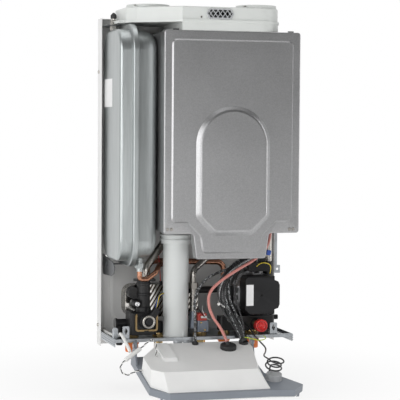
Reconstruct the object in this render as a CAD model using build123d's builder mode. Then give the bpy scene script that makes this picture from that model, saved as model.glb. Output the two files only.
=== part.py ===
from build123d import *

import os
from math import cos, radians, sin, tan

# Wall-hung condensing combi boiler, outer casing taken off, control panel hanging open.
# Millimetres. X runs to the right, Y runs into the wall, Z runs up. The origin lies on the
# wall, in the middle of the boiler, level with the underside of the base tray.

# ---------------------------------------------------------------- driving dimensions

# Folded steel
BOILER_WIDTH = 440
BACK_TOP = 757
BACK_BOTTOM = -27
BACK_FLANGE = 40
SHEET = 1.5
BEAD_WIDTH = 8
BEAD_HEIGHT = 2.5
BEAD_MARGIN = 31.5
BEAD_FROM_BOTTOM = 43.5
BEAD_FROM_STRIP = 7.5
HANGING_HOLE_SPACING = 300
HANGING_HOLE_DIAMETER = 11
HANGING_HOLE_FROM_TOP = 20
FIXING_HOLE_FROM_BOTTOM = 12
TRAY_DEPTH = 182
TRAY_LIP = 8
TRAY_SIDE_DROP = 10
CATCH_X = -54
CATCH_WIDTH = 48
CATCH_DROP = 9

# Expansion vessel
VESSEL_LEFT = -210
VESSEL_RIGHT = -116
VESSEL_SEAM = -174
VESSEL_FRONT = -192
VESSEL_BACK = -18
VESSEL_BOTTOM = 186
VESSEL_TOP = 727
VESSEL_CORNER = 50
LEFT_DRAFT = 2
RIGHT_DRAFT = 9
LEFT_EDGE = 7
RIGHT_EDGE = 30
VESSEL_SHEET = 2
SEAM_PROUD = 12
SEAM_THICKNESS = 7
VALVE_X = -196
VALVE_Y = -62
VALVE_BRACKET = 737
BRACKET_X = -206

# Sealed combustion chamber
CHAMBER_LEFT = -116
CHAMBER_RIGHT = 214
CHAMBER_BOTTOM = 253
CHAMBER_TOP = 722
CHAMBER_FRONT = -230
CHAMBER_BACK = -20
PANEL_LIP = 25
TAB_LEFT = -37
TAB_RIGHT = 132
TAB_BOTTOM = 194
BULGE_LEFT = -40
BULGE_RIGHT = 139
BULGE_BOTTOM = 249
BULGE_TOP = 549
BULGE_HEIGHT = 7
BULGE_FLANK = 55
BULGE_ROUND = 10
FIELD_HEIGHT = 3
FIELD_FLANK = 50
FIELD_LEFT = -98
FIELD_RIGHT = 196
FIELD_TOP = 702
FIELD_BOTTOM = 279
SEAL_WIDTH = 8
SEAL_THICKNESS = 6.5
SCREW_HEAD = 8

# Heat engine inside the chamber
EXCHANGER_X = 49
EXCHANGER_Z = 575
EXCHANGER_DIAMETER = 210
EXCHANGER_BACK = -40
EXCHANGER_FRONT = -170
BURNER_DOOR_THICKNESS = 12
FAN_Z = 385
FAN_DIAMETER = 128
FAN_FRONT = -195
FAN_DEPTH = 62
FAN_SHAFT = 8
IMPELLER_BLADES = 12
FLUE_X = 10
FLUE_Y = -120
FLUE_BORE = 60
FLUE_WALL = 2

# White top box
TOP_BASE_BOTTOM = 741
TOP_SPLIT = 747
TOP_LID_TOP = 777
TOP_CAP_TOP = 785
TOP_CAP_DIAMETERS = (104, 98)
TOP_LEFT = -184
TOP_RIGHT = 174
TOP_FRONT = -227
TOP_BACK = -18
TOP_WALL = 3
GRILLE_CENTRE_X = 17
GRILLE_WIDTH = 66
GRILLE_HEIGHT = 24

# Condensate siphon
SIPHON_X = -62
SIPHON_Y = -143
SIPHON_DIAMETER = 61
SIPHON_TOP = 243
SIPHON_COLLAR = 71

# Pump and relief valve
PUMP_X = 146
PUMP_Z = 100
PUMP_FRONT = -170
PUMP_BOX_WIDTH = 90
PUMP_BOX_HEIGHT = 93
PUMP_BOX_DEPTH = 40
PUMP_CAN_DIAMETER = 104
PUMP_CAN_DEPTH = 48
VOLUTE_DEPTH = 50
PUMP_IMPELLER_DIAMETER = 54
PUMP_SHAFT = 10
RELIEF_X = 144.5
RELIEF_Z = 27
KNOB_DIAMETER = 30.5
KNOB_DEPTH = 16
KNOB_FRONT = -170

# Hydraulic group on the left
DIVERTER_X = -137
DIVERTER_Y = -130
DIVERTER_DIAMETER = 31
ACTUATOR_X = -136
ACTUATOR_Z = 44
STEM_DIAMETER = 8
STEM_TRAVEL = 8
EXCHANGER_PLATE_LEFT = -172
EXCHANGER_PLATE_RIGHT = 8
EXCHANGER_PLATE_BOTTOM = 47
EXCHANGER_PLATE_TOP = 124
EXCHANGER_PLATE_FRONT = -94
EXCHANGER_PLATE_COUNT = 10
EXCHANGER_PLATE_PITCH = 4.4
GAS_X = 8
GAS_Y = -112

# Pipe tails under the tray
TAIL_Y = -110
TAIL_BOTTOM = -30
THREE_QUARTER = 26.4
HALF_INCH = 21
CAP_WALL = 2

# Control panel, hanging open
PANEL_TILT = 14
HINGE_Y = -TRAY_DEPTH - 11
HINGE_Z = -6
HINGE_PIN = 8
LEFT_EAR_X = -175
RIGHT_EAR_X = 110
EAR_THICKNESS = 4
FRAME_RIM = -38
FRAME_UNDERSIDE = -54
FRAME_WALL = 2.5
FRAME_FRONT = 197
COVER_WALL = 2.5
FACE_THICKNESS = 3
FACE_BULGE = 8
GROMMET_X = 42
GROMMET_ALONG = 37
GROMMET_DIAMETER = 38
GAUGE_X = 125
GAUGE_ALONG = 135
GAUGE_DIAMETER = 36
GAUGE_TOP = -24
BUTTON_DIAMETER = 12
BUTTON_TRAVEL = 1.2
BUTTON_CLEARANCE = 0.4

# Cords
IGNITION_LEAD_DIAMETER = 7
SIDE_CABLE_DIAMETER = 6.5
WHITE_LEAD_DIAMETER = 8
PIGTAIL_DIAMETER = 4
CAPILLARY_DIAMETER = 3.6

# Outside of the chamber's rear box, which its front panel closes over
BOX_CLEARANCE = 0.5
box_left = CHAMBER_LEFT + SHEET + BOX_CLEARANCE
box_right = CHAMBER_RIGHT - SHEET - BOX_CLEARANCE
box_bottom = CHAMBER_BOTTOM + SHEET + BOX_CLEARANCE
box_top = CHAMBER_TOP - SHEET - BOX_CLEARANCE

# ---------------------------------------------------------------- frames of reference

PANEL_ALONG = Vector(0, -cos(radians(PANEL_TILT)), -sin(radians(PANEL_TILT)))
PANEL_UP = Vector(0, -sin(radians(PANEL_TILT)), cos(radians(PANEL_TILT)))
PANEL_RISE = Axis((0, 0, 0), PANEL_UP)
HINGE_LINE = Vector(0, HINGE_Y, HINGE_Z)


def panel_plane(height):
    """A plane of the hanging panel: sketch x is X, sketch y runs back towards the hinge."""
    return Plane(origin=HINGE_LINE + PANEL_UP * height, x_dir=(1, 0, 0), z_dir=PANEL_UP)


def panel_side(x):
    """A plane across the hanging panel: sketch x runs along it, sketch y rises from it."""
    return Plane(origin=HINGE_LINE + Vector(x, 0, 0), x_dir=PANEL_ALONG, z_dir=(-1, 0, 0))


def on_panel(x, along, height):
    """The place of a point given across, along and above the hanging panel."""
    return Vector(x, 0, 0) + HINGE_LINE + PANEL_ALONG * along + PANEL_UP * height


def front_plane(y):
    """A plane parallel to the wall: sketch x is X, sketch y is Z, and it faces the room."""
    return Plane(origin=(0, y, 0), x_dir=(1, 0, 0), z_dir=(0, -1, 0))


def side_plane(x):
    """A plane facing right: sketch x is Y and sketch y is Z."""
    return Plane(origin=(x, 0, 0), x_dir=(0, 1, 0), z_dir=(1, 0, 0))


# ---------------------------------------------------------------- bent tubes


def bend_radii(points, ease=0.45):
    """The largest arc that each corner of a route allows, from its shorter run."""
    radii = []
    for before, here, after in zip(points, points[1:], points[2:]):
        run_in = Vector(*here) - Vector(*before)
        run_out = Vector(*after) - Vector(*here)
        half_turn = radians(run_in.get_angle(run_out)) / 2
        radii.append(ease * min(run_in.length, run_out.length) / tan(half_turn))
    return radii


def bent_pipe(points, diameter, bend=None):
    """A pipe along straight runs joined by bends of one radius, or the largest that fit."""
    radii = [bend] * (len(points) - 2) if bend else bend_radii(points)
    with BuildPart() as pipe:
        with BuildLine() as centre:
            if len(points) > 2:
                FilletPolyline(*points, radius=radii)
            else:
                Line(*points)
        with BuildSketch(Plane(origin=centre.line @ 0, z_dir=centre.line % 0)):
            Circle(diameter / 2)
        sweep()
    return pipe.part


def free_cord(name, points, diameter):
    """A hanging cord: its bends are as large as its runs allow, and they are printed."""
    radii = bend_radii(points)
    cord = bent_pipe(points, diameter)
    print(f"{name}: smallest bend {min(radii):.1f}, diameter {diameter}, volume {cord.volume:.0f}")
    return cord


def save(piece, name):
    """Label a finished piece and write it."""
    piece.label = name
    export_step(piece, f"parts/{name}.step")


os.makedirs("parts", exist_ok=True)

# ---------------------------------------------------------------- back plate

plate_height = BACK_TOP - BACK_BOTTOM
half_width = BOILER_WIDTH / 2
bead_width_across = BOILER_WIDTH - 2 * BEAD_MARGIN
bead_bottom = BACK_BOTTOM + BEAD_FROM_BOTTOM
bead_top = VALVE_BRACKET - BEAD_FROM_STRIP
bead_height_across = bead_top - bead_bottom
BRACKET_SLOT_LEFT = BRACKET_X + SHEET
BRACKET_SLOTS = ((187, -2), (149, 2))

with BuildPart() as back_plate:
    with BuildSketch(Plane.XY.offset(BACK_BOTTOM)):
        with Locations((0, -SHEET / 2)):
            Rectangle(BOILER_WIDTH, SHEET)
        for side in (-1, 1):
            with Locations((side * (half_width - SHEET / 2), -BACK_FLANGE / 2)):
                Rectangle(SHEET, BACK_FLANGE)
    extrude(amount=plate_height)
    fillet(back_plate.edges().filter_by(Axis.Z).group_by(Axis.Y)[-1], SHEET)
    # top return
    with BuildSketch(Plane.XY.offset(BACK_TOP - SHEET)):
        with Locations((0, -15 / 2)):
            Rectangle(BOILER_WIDTH - 2 * SHEET, 15)
    extrude(amount=SHEET)
    # stiffening bead, pressed forward from behind
    for face_y, margin, mode in ((-SHEET, 0, Mode.ADD), (0, SHEET, Mode.SUBTRACT)):
        with BuildSketch(front_plane(face_y)):
            with Locations((0, (bead_bottom + bead_top) / 2)):
                RectangleRounded(
                    bead_width_across - 2 * margin, bead_height_across - 2 * margin, 40 - margin)
                RectangleRounded(
                    bead_width_across - 2 * BEAD_WIDTH + 2 * margin,
                    bead_height_across - 2 * BEAD_WIDTH + 2 * margin,
                    40 - BEAD_WIDTH + margin, mode=Mode.SUBTRACT)
        extrude(amount=BEAD_HEIGHT, mode=mode)
    # holes for the wall hooks above and the wall screws below
    with BuildSketch(front_plane(0)):
        for hole_z in (BACK_TOP - HANGING_HOLE_FROM_TOP, BACK_BOTTOM + FIXING_HOLE_FROM_BOTTOM):
            for side in (-1, 1):
                with Locations((side * HANGING_HOLE_SPACING / 2, hole_z)):
                    Circle(HANGING_HOLE_DIAMETER / 2)
        # ends of the cut that the vessel's bracket was bent out of
        for slot_z, rise in BRACKET_SLOTS:
            with BuildLine():
                Polyline((BRACKET_SLOT_LEFT, slot_z - 3), (BRACKET_SLOT_LEFT, slot_z + 3),
                         (BRACKET_SLOT_LEFT + 13, slot_z + rise), close=True)
            make_face()
    extrude(amount=SHEET, mode=Mode.SUBTRACT)
save(back_plate.part, "back_plate")

# ---------------------------------------------------------------- base tray

TAILS = {  # place across the boiler and thread diameter of each connection
    "flow": (-160, THREE_QUARTER),
    "hot_water": (-95, HALF_INCH),
    "gas": (GAS_X, THREE_QUARTER),
    "cold_water": (68, HALF_INCH),
    "return": (139, THREE_QUARTER),
}
TAIL_CLEARANCE = 1
tray_half = half_width - SHEET - 0.3
HOSE_X = -190
HOSE_Y = -108
HOSE_HOLE = 22
HARNESS_ENTRY_X = 88
LIP_NOTCH_WIDTH = 30
LIP_NOTCH_DEPTH = 8

with BuildPart() as base_tray:
    with BuildSketch(Plane.XY):
        with Locations((0, -(TRAY_DEPTH + SHEET) / 2)):
            Rectangle(2 * tray_half, TRAY_DEPTH - SHEET)
    extrude(amount=SHEET)
    # front lip, rolled back along its top
    with BuildSketch(side_plane(-tray_half)):
        with BuildLine():
            Polyline(
                (-TRAY_DEPTH, 0), (-TRAY_DEPTH, TRAY_LIP), (-TRAY_DEPTH + 6, TRAY_LIP),
                (-TRAY_DEPTH + 6, TRAY_LIP - SHEET), (-TRAY_DEPTH + SHEET, TRAY_LIP - SHEET),
                (-TRAY_DEPTH + SHEET, 0), close=True)
        make_face()
    extrude(amount=2 * tray_half)
    fillet(base_tray.edges().filter_by(Axis.X).group_by(Axis.Y)[0], SHEET / 2)
    # ribbed side flanges
    for side in (-1, 1):
        with BuildSketch(side_plane(side * tray_half)):
            with BuildLine():
                Polyline(
                    (-TRAY_DEPTH, -TRAY_SIDE_DROP), (-TRAY_DEPTH, TRAY_LIP),
                    (-BACK_FLANGE - 2, TRAY_LIP), (-BACK_FLANGE - 2, -TRAY_SIDE_DROP),
                    close=True)
            make_face()
        extrude(amount=-side * SHEET)
        for rib in range(3):
            with BuildSketch(side_plane(side * tray_half)):
                with Locations(((-TRAY_DEPTH - BACK_FLANGE - 2) / 2, TRAY_LIP - 4 - 5 * rib)):
                    Rectangle(TRAY_DEPTH - BACK_FLANGE - 2, 2.6)
            extrude(amount=side * 1.6)
    # catch tab of the outer casing, below the middle of the lip
    with BuildSketch(front_plane(-TRAY_DEPTH)):
        with Locations((CATCH_X, (TRAY_LIP - CATCH_DROP) / 2)):
            RectangleRounded(CATCH_WIDTH, TRAY_LIP + CATCH_DROP, 6)
        with Locations((CATCH_X, -CATCH_DROP / 2)):
            Circle(2.5, mode=Mode.SUBTRACT)
    extrude(amount=SHEET)
    # holes for the pipe tails and the drain hose
    with BuildSketch(Plane.XY):
        for tail_x, thread in TAILS.values():
            with Locations((tail_x, TAIL_Y)):
                Circle(thread / 2 + TAIL_CLEARANCE)
        with Locations((HOSE_X, HOSE_Y)):
            Circle(HOSE_HOLE / 2)
    extrude(amount=SHEET, mode=Mode.SUBTRACT)
    # notch in the lip for the boot of the wire harness, which swings past it with the panel
    with BuildSketch(Plane.XY.offset(-1)):
        with Locations((HARNESS_ENTRY_X, -TRAY_DEPTH + LIP_NOTCH_DEPTH / 2 - 1)):
            Rectangle(LIP_NOTCH_WIDTH, LIP_NOTCH_DEPTH + 2)
    extrude(amount=TRAY_LIP + 2, mode=Mode.SUBTRACT)
    # hinge lugs with their studs
    for lug_x, stud_side in ((LEFT_EAR_X + EAR_THICKNESS + 0.5, -1), (RIGHT_EAR_X - 0.5, 1)):
        inner = lug_x if stud_side < 0 else lug_x - 2
        with BuildSketch(side_plane(inner)):
            with BuildLine():
                Polyline(
                    (-TRAY_DEPTH + SHEET, 0), (-TRAY_DEPTH + SHEET, TRAY_LIP - SHEET),
                    (HINGE_Y - 2, TRAY_LIP - SHEET), (HINGE_Y - 7, HINGE_Z + 3),
                    (HINGE_Y - 7, HINGE_Z - 5), (HINGE_Y + 5, HINGE_Z - 6), close=True)
            make_face()
        extrude(amount=2)
        with BuildSketch(Plane(
                origin=(lug_x, HINGE_Y, HINGE_Z), x_dir=(0, 1, 0), z_dir=(stud_side, 0, 0))):
            Circle(HINGE_PIN / 2)
        extrude(amount=EAR_THICKNESS + 1)
        with BuildSketch(Plane(
                origin=(lug_x + stud_side * (EAR_THICKNESS + 1), HINGE_Y, HINGE_Z),
                x_dir=(0, 1, 0), z_dir=(stud_side, 0, 0))):
            Circle(HINGE_PIN / 2 + 2)
        extrude(amount=2)
save(base_tray.part, "base_tray")

# ---------------------------------------------------------------- small brackets

KEYHOLE_TABS = ((-190, 16, 37), (172, 18, 35))  # across, width, top
SQUARE_TAB = (188.5, 161)
SQUARE_TAB_SIZE = (14, 19)
STRIP_X = 184.5
STRIP_WIDTH = 6
DOME_TAB_HALF = 5.8
DOME_TAB = (-tray_half + SHEET + DOME_TAB_HALF + 0.3, -TRAY_DEPTH + 32)
KEYHOLE_TAB_Y = -TRAY_DEPTH + 8

with BuildPart() as casing_brackets:
    for tab_x, tab_width, tab_top in KEYHOLE_TABS:
        with BuildSketch(front_plane(KEYHOLE_TAB_Y)):
            with Locations((tab_x, (tab_top + SHEET) / 2)):
                RectangleRounded(tab_width, tab_top - SHEET, 3)
            with Locations((tab_x, tab_top - 12)):
                Circle(4, mode=Mode.SUBTRACT)
                SlotOverall(14, 4, rotation=90, mode=Mode.SUBTRACT)
        extrude(amount=SHEET)
        with BuildSketch(Plane.XY.offset(SHEET)):
            with Locations((tab_x, KEYHOLE_TAB_Y + 5.5)):
                Rectangle(tab_width, 13)
        extrude(amount=SHEET)
    # square tab on a strip that hangs from the chamber floor
    with BuildSketch(front_plane(-150)):
        with Locations((STRIP_X, (SQUARE_TAB[1] + box_bottom) / 2)):
            Rectangle(STRIP_WIDTH, box_bottom - SQUARE_TAB[1])
        with Locations(SQUARE_TAB):
            RectangleRounded(*SQUARE_TAB_SIZE, 1.5)
            Circle(3, mode=Mode.SUBTRACT)
    extrude(amount=SHEET)
    # domed corner bracket on the tray
    with BuildSketch(Plane(origin=(DOME_TAB[0], DOME_TAB[1], 0), x_dir=(1, 0, 0), z_dir=(0, -1, 0))):
        with BuildLine():
            Polyline((-DOME_TAB_HALF, 25), (-DOME_TAB_HALF, SHEET), (DOME_TAB_HALF, SHEET),
                     (DOME_TAB_HALF, 25))
            ThreePointArc((DOME_TAB_HALF, 25), (0, 32), (-DOME_TAB_HALF, 25))
        make_face()
    extrude(amount=8)
    fillet(casing_brackets.faces().sort_by(Axis.X)[0].edges().sort_by(Axis.Y)[0], 2)
save(casing_brackets.part, "casing_brackets")

# ---------------------------------------------------------------- expansion vessel

vessel_middle = ((VESSEL_FRONT + VESSEL_BACK) / 2, (VESSEL_TOP + VESSEL_BOTTOM) / 2)
vessel_size = (VESSEL_BACK - VESSEL_FRONT, VESSEL_TOP - VESSEL_BOTTOM)
SEAM_ROUND = 3
UNION_PLACE = (-152, -150)
UNION_BOTTOM = 162
UNION_NUT = 12
UNION_NUT_HEIGHT = 11
NIPPLE_DIAMETER = 16
VALVE_HEX = 15
VALVE_NUT = 18
VALVE_HEX_HEIGHT = 13
VALVE_NUT_HEIGHT = 9
VALVE_STEM = 8
VALVE_STEM_TOP = 17.5
VALVE_CAP = 14.5
VALVE_CAP_HEIGHT = 14
DIAPHRAGM_GAP = 0.2
DIAPHRAGM_WALL = 2
DIAPHRAGM_DEPTH = 18
DIAPHRAGM_DRAFT = 20


def vessel_outline(grow):
    """Side view of the vessel, rounded at its corners, larger by a margin all round."""
    with Locations(vessel_middle):
        RectangleRounded(
            vessel_size[0] + 2 * grow, vessel_size[1] + 2 * grow, VESSEL_CORNER + grow)


def vessel_body(outer_x, draft, edge_radius, inside=0):
    """One drafted half as a full body, or its hollow when a sheet thickness is given."""
    way = 1 if outer_x > VESSEL_SEAM else -1
    with BuildPart() as body:
        with BuildSketch(side_plane(VESSEL_SEAM)):
            vessel_outline(-inside)
        extrude(amount=outer_x - VESSEL_SEAM - way * inside, taper=draft)
        fillet(body.faces().sort_by(Axis.X)[-1 if way > 0 else 0].edges(), edge_radius - inside)
    return body.part


def vessel_pan(outer_x, draft, edge_radius):
    """One drafted pressing with its flange, open at the seam."""
    way = 1 if outer_x > VESSEL_SEAM else -1
    with BuildPart() as flange:
        with BuildSketch(side_plane(VESSEL_SEAM)):
            vessel_outline(SEAM_PROUD)
        extrude(amount=way * SEAM_THICKNESS)
        fillet(flange.faces().sort_by(Axis.X)[-1 if way > 0 else 0].edges(), SEAM_ROUND)
    with BuildPart() as pan:
        add(vessel_body(outer_x, draft, edge_radius))
        add(flange.part)
        add(vessel_body(outer_x, draft, edge_radius, VESSEL_SHEET), mode=Mode.SUBTRACT)
    return pan.part


save(vessel_pan(VESSEL_LEFT, LEFT_DRAFT, LEFT_EDGE), "vessel_left_half")

with BuildPart() as vessel_right_half:
    add(vessel_pan(VESSEL_RIGHT, RIGHT_DRAFT, RIGHT_EDGE))
    # nipple with its union nut, set into the underside
    with BuildSketch(Plane.XY.offset(UNION_BOTTOM)):
        with Locations(UNION_PLACE):
            Circle(NIPPLE_DIAMETER / 2)
    extrude(amount=VESSEL_BOTTOM + 7 - UNION_BOTTOM)
    with BuildSketch(Plane.XY.offset(UNION_BOTTOM + 8)):
        with Locations(UNION_PLACE):
            RegularPolygon(UNION_NUT, 6)
    extrude(amount=UNION_NUT_HEIGHT)
save(vessel_right_half.part, "vessel_right_half")

with BuildPart() as vessel_diaphragm:
    with BuildSketch(side_plane(VESSEL_SEAM)):
        vessel_outline(-VESSEL_SHEET - DIAPHRAGM_GAP)
    extrude(amount=DIAPHRAGM_DEPTH, taper=DIAPHRAGM_DRAFT)
    with BuildSketch(side_plane(VESSEL_SEAM)):
        vessel_outline(-VESSEL_SHEET - DIAPHRAGM_GAP - DIAPHRAGM_WALL)
    extrude(amount=DIAPHRAGM_DEPTH - DIAPHRAGM_WALL, taper=DIAPHRAGM_DRAFT, mode=Mode.SUBTRACT)
save(vessel_diaphragm.part, "vessel_diaphragm")

with BuildPart() as charging_valve:
    with BuildSketch(Plane.XY.offset(VESSEL_TOP - 17)):
        with Locations((VALVE_X, VALVE_Y)):
            RegularPolygon(VALVE_HEX / 2, 6)
    extrude(amount=VALVE_BRACKET - VESSEL_TOP + 17)
    add(vessel_body(VESSEL_LEFT, LEFT_DRAFT, LEFT_EDGE), mode=Mode.SUBTRACT)
    for nut_bottom, nut, height in (
            (VALVE_BRACKET - VALVE_NUT_HEIGHT, VALVE_NUT, VALVE_NUT_HEIGHT),
            (VALVE_BRACKET + SHEET, VALVE_HEX, VALVE_HEX_HEIGHT)):
        with BuildSketch(Plane.XY.offset(nut_bottom)):
            with Locations((VALVE_X, VALVE_Y)):
                RegularPolygon(nut / 2, 6)
        extrude(amount=height)
    chamfer(charging_valve.faces().sort_by(Axis.Z)[-1].edges(), 1.5)
    with BuildSketch(Plane.XY.offset(VALVE_BRACKET)):
        with Locations((VALVE_X, VALVE_Y)):
            Circle(VALVE_STEM / 2)
    extrude(amount=VALVE_STEM_TOP)
save(charging_valve.part, "charging_valve")

with BuildPart() as valve_cap:
    with BuildSketch(Plane(
            origin=(VALVE_X, VALVE_Y, VALVE_BRACKET + VALVE_STEM_TOP), x_dir=(1, 0, 0),
            z_dir=(0, -1, 0))):
        with BuildLine():
            cap = VALVE_CAP / 2
            Polyline((0, 0), (cap - 1, 0), (cap, 1), (cap, 8), (cap - 2.5, 11), (2.5, 13),
                     (2.5, VALVE_CAP_HEIGHT), (0, VALVE_CAP_HEIGHT), close=True)
        make_face()
    revolve(axis=Axis((VALVE_X, VALVE_Y, 0), (0, 0, 1)))
save(valve_cap.part, "valve_cap")

# dark bracket bent out of the back plate that carries the vessel low down, and the strip at
# its top that holds the charging valve
BRACKET_SCREWS = ((-48, 173), (-40, 163))
BRACKET_SCREW = 9
STRIP_REACH = 88.5
SHELF_DEPTH = 24
SHELF_Y = -70
shelf_top = VESSEL_BOTTOM - SEAM_PROUD
shelf_width = VESSEL_SEAM - BRACKET_X

with BuildPart() as vessel_bracket:
    with BuildSketch(side_plane(BRACKET_X)) as cheek:
        with BuildLine():
            Polyline((-SHEET, 192), (-60, 184), (-104, 181), (-124, 170), (-116, 154), (-88, 146),
                     (-SHEET, 143), close=True)
        make_face()
        fillet(cheek.vertices().group_by(Axis.Y)[0], 10)
    extrude(amount=SHEET)
    with BuildSketch(Plane.XY.offset(shelf_top - SHEET)):
        with Locations((BRACKET_X + shelf_width / 2, SHELF_Y)):
            Rectangle(shelf_width, SHELF_DEPTH)
    extrude(amount=SHEET)
    for screw_place in BRACKET_SCREWS:
        with BuildSketch(side_plane(BRACKET_X)):
            with Locations(screw_place):
                Circle(BRACKET_SCREW / 2)
        extrude(amount=-3)
    with BuildSketch(Plane.XY.offset(VALVE_BRACKET)):
        with Locations((VALVE_X - 3.5, -(STRIP_REACH + SHEET) / 2)):
            RectangleRounded(34, STRIP_REACH - SHEET, 4)
        with Locations((VALVE_X, VALVE_Y)):
            Circle(VALVE_STEM / 2, mode=Mode.SUBTRACT)
    extrude(amount=SHEET)
save(vessel_bracket.part, "vessel_bracket")

# ---------------------------------------------------------------- combustion chamber

BOX_FRONT = CHAMBER_FRONT + SHEET + SEAL_THICKNESS
BOX_FLANGE = 10
TAB_SLOPE = 8
CORNER = 7
FLOW_PIPE = (-80, -100)
RETURN_PIPE = (196, -62)
GAS_PIPE = (33, -100)
LEAD_EXIT = (172, -150)
STEEL_PIPE_DIAMETER = 18
GAS_PIPE_DIAMETER = 15
PIPE_CLEARANCE = 1.5
SCREW_SHANK = 3.2
FRONT_SCREWS = ((-106, 265), (-97, 265), (190, 262), (199, 262))


def panel_outline():
    """Front view of the chamber panel with the tab that hangs from its lower edge."""
    with BuildSketch() as outline:
        with BuildLine():
            Polyline(
                (CHAMBER_LEFT, CHAMBER_TOP), (CHAMBER_RIGHT, CHAMBER_TOP),
                (CHAMBER_RIGHT, CHAMBER_BOTTOM), (TAB_RIGHT + TAB_SLOPE, CHAMBER_BOTTOM),
                (TAB_RIGHT, TAB_BOTTOM), (TAB_LEFT, TAB_BOTTOM),
                (TAB_LEFT - TAB_SLOPE, CHAMBER_BOTTOM), (CHAMBER_LEFT, CHAMBER_BOTTOM),
                close=True)
        make_face()
        fillet(outline.vertices(), CORNER)
    return outline.sketch


def raised_field():
    """The area inside the embossed line, which steps down round the tab."""
    step = 22
    with BuildSketch() as field:
        with BuildLine():
            Polyline(
                (FIELD_LEFT, FIELD_TOP), (FIELD_RIGHT, FIELD_TOP), (FIELD_RIGHT, FIELD_BOTTOM),
                (TAB_RIGHT + step, FIELD_BOTTOM), (TAB_RIGHT - 8, FIELD_BOTTOM - step - 10),
                (TAB_RIGHT - 14, TAB_BOTTOM + 14), (TAB_LEFT + 14, TAB_BOTTOM + 14),
                (TAB_LEFT + 8, FIELD_BOTTOM - step - 10), (TAB_LEFT - step, FIELD_BOTTOM),
                (FIELD_LEFT, FIELD_BOTTOM), close=True)
        make_face()
        fillet(field.vertices(), 12)
    return field.sketch


def bulge_outline():
    """The tall pressed bulge: a half circle above, short cut corners below."""
    middle = (BULGE_LEFT + BULGE_RIGHT) / 2
    radius = (BULGE_RIGHT - BULGE_LEFT) / 2
    foot = 42
    with BuildSketch() as bulge:
        with BuildLine():
            ThreePointArc((BULGE_RIGHT, BULGE_TOP - radius), (middle, BULGE_TOP),
                          (BULGE_LEFT, BULGE_TOP - radius))
            Polyline(
                (BULGE_LEFT, BULGE_TOP - radius), (BULGE_LEFT, BULGE_BOTTOM + foot),
                (BULGE_LEFT + foot, BULGE_BOTTOM), (BULGE_RIGHT - foot, BULGE_BOTTOM),
                (BULGE_RIGHT, BULGE_BOTTOM + foot), (BULGE_RIGHT, BULGE_TOP - radius))
        make_face()
        fillet(bulge.vertices().group_by(Axis.Y)[0] + bulge.vertices().group_by(Axis.Y)[1], 25)
    return bulge.sketch


with BuildPart() as chamber_front:
    with BuildSketch(front_plane(CHAMBER_FRONT + PANEL_LIP)):
        add(panel_outline())
    extrude(amount=PANEL_LIP)
    fillet(chamber_front.faces().sort_by(Axis.Y)[0].edges(), 3)
    offset(amount=-SHEET, openings=chamber_front.faces().sort_by(Axis.Y)[-1])
    # each pressing is added in front and taken away behind, so the sheet keeps its thickness
    for face_y, mode in ((CHAMBER_FRONT, Mode.ADD), (CHAMBER_FRONT + SHEET, Mode.SUBTRACT)):
        with BuildSketch(front_plane(face_y)):
            add(raised_field())
        extrude(amount=FIELD_HEIGHT, taper=FIELD_FLANK, mode=mode)
    for face_y, mode in ((CHAMBER_FRONT, Mode.ADD), (CHAMBER_FRONT + SHEET, Mode.SUBTRACT)):
        with BuildSketch(front_plane(face_y - FIELD_HEIGHT)):
            add(bulge_outline())
        extrude(amount=BULGE_HEIGHT, taper=BULGE_FLANK, mode=mode)
        if mode == Mode.ADD:
            fillet(chamber_front.faces().sort_by(Axis.Y)[0].edges(), BULGE_ROUND)
    # screw holes, and the slots of the two spring clips on the top edge
    with BuildSketch(front_plane(CHAMBER_FRONT + SHEET)):
        for screw_x, screw_z in FRONT_SCREWS:
            with Locations((screw_x, screw_z)):
                Circle(SCREW_SHANK / 2 + 0.2)
    extrude(amount=SHEET, mode=Mode.SUBTRACT)
    with BuildSketch(Plane.XY.offset(CHAMBER_TOP)):
        for clip_x in (-80, 178):
            with Locations((clip_x, CHAMBER_FRONT + 8)):
                Rectangle(14, 8)
    extrude(amount=-SHEET, mode=Mode.SUBTRACT)
save(chamber_front.part, "chamber_front")

with BuildPart() as chamber_box:
    with BuildSketch(front_plane(CHAMBER_BACK)):
        with Locations(((box_left + box_right) / 2, (box_bottom + box_top) / 2)):
            RectangleRounded(box_right - box_left, box_top - box_bottom, CORNER)
    extrude(amount=CHAMBER_BACK - BOX_FRONT)
    offset(amount=-SHEET, openings=chamber_box.faces().sort_by(Axis.Y)[0])
    with BuildSketch(front_plane(BOX_FRONT)):
        with Locations(((box_left + box_right) / 2, (box_bottom + box_top) / 2)):
            RectangleRounded(box_right - box_left, box_top - box_bottom, CORNER)
            RectangleRounded(
                box_right - box_left - 2 * BOX_FLANGE, box_top - box_bottom - 2 * BOX_FLANGE,
                CORNER, mode=Mode.SUBTRACT)
    extrude(amount=-SHEET)
    # ways through the floor for the pipes, the siphon and the ignition lead
    with BuildSketch(Plane.XY.offset(box_bottom)):
        for place, hole in (
                (FLOW_PIPE, STEEL_PIPE_DIAMETER + 2 * PIPE_CLEARANCE),
                (RETURN_PIPE, STEEL_PIPE_DIAMETER + 2 * PIPE_CLEARANCE),
                (GAS_PIPE, GAS_PIPE_DIAMETER + 2 * PIPE_CLEARANCE),
                (LEAD_EXIT, IGNITION_LEAD_DIAMETER + 2 * PIPE_CLEARANCE),
                ((SIPHON_X, SIPHON_Y), 24)):
            with Locations(place):
                Circle(hole / 2)
    extrude(amount=SHEET, mode=Mode.SUBTRACT)
    # way through the roof for the flue duct
    with BuildSketch(Plane.XY.offset(box_top)):
        with Locations((FLUE_X, FLUE_Y)):
            Circle(FLUE_BORE / 2 + FLUE_WALL + 0.5)
    extrude(amount=-SHEET, mode=Mode.SUBTRACT)
    # rails that hold the box off the back plate
    for rail_z in (320, 660):
        with BuildSketch(front_plane(-SHEET)):
            with Locations((EXCHANGER_X - 10, rail_z)):
                Rectangle(200, 24)
        extrude(amount=-CHAMBER_BACK - SHEET)
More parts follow.
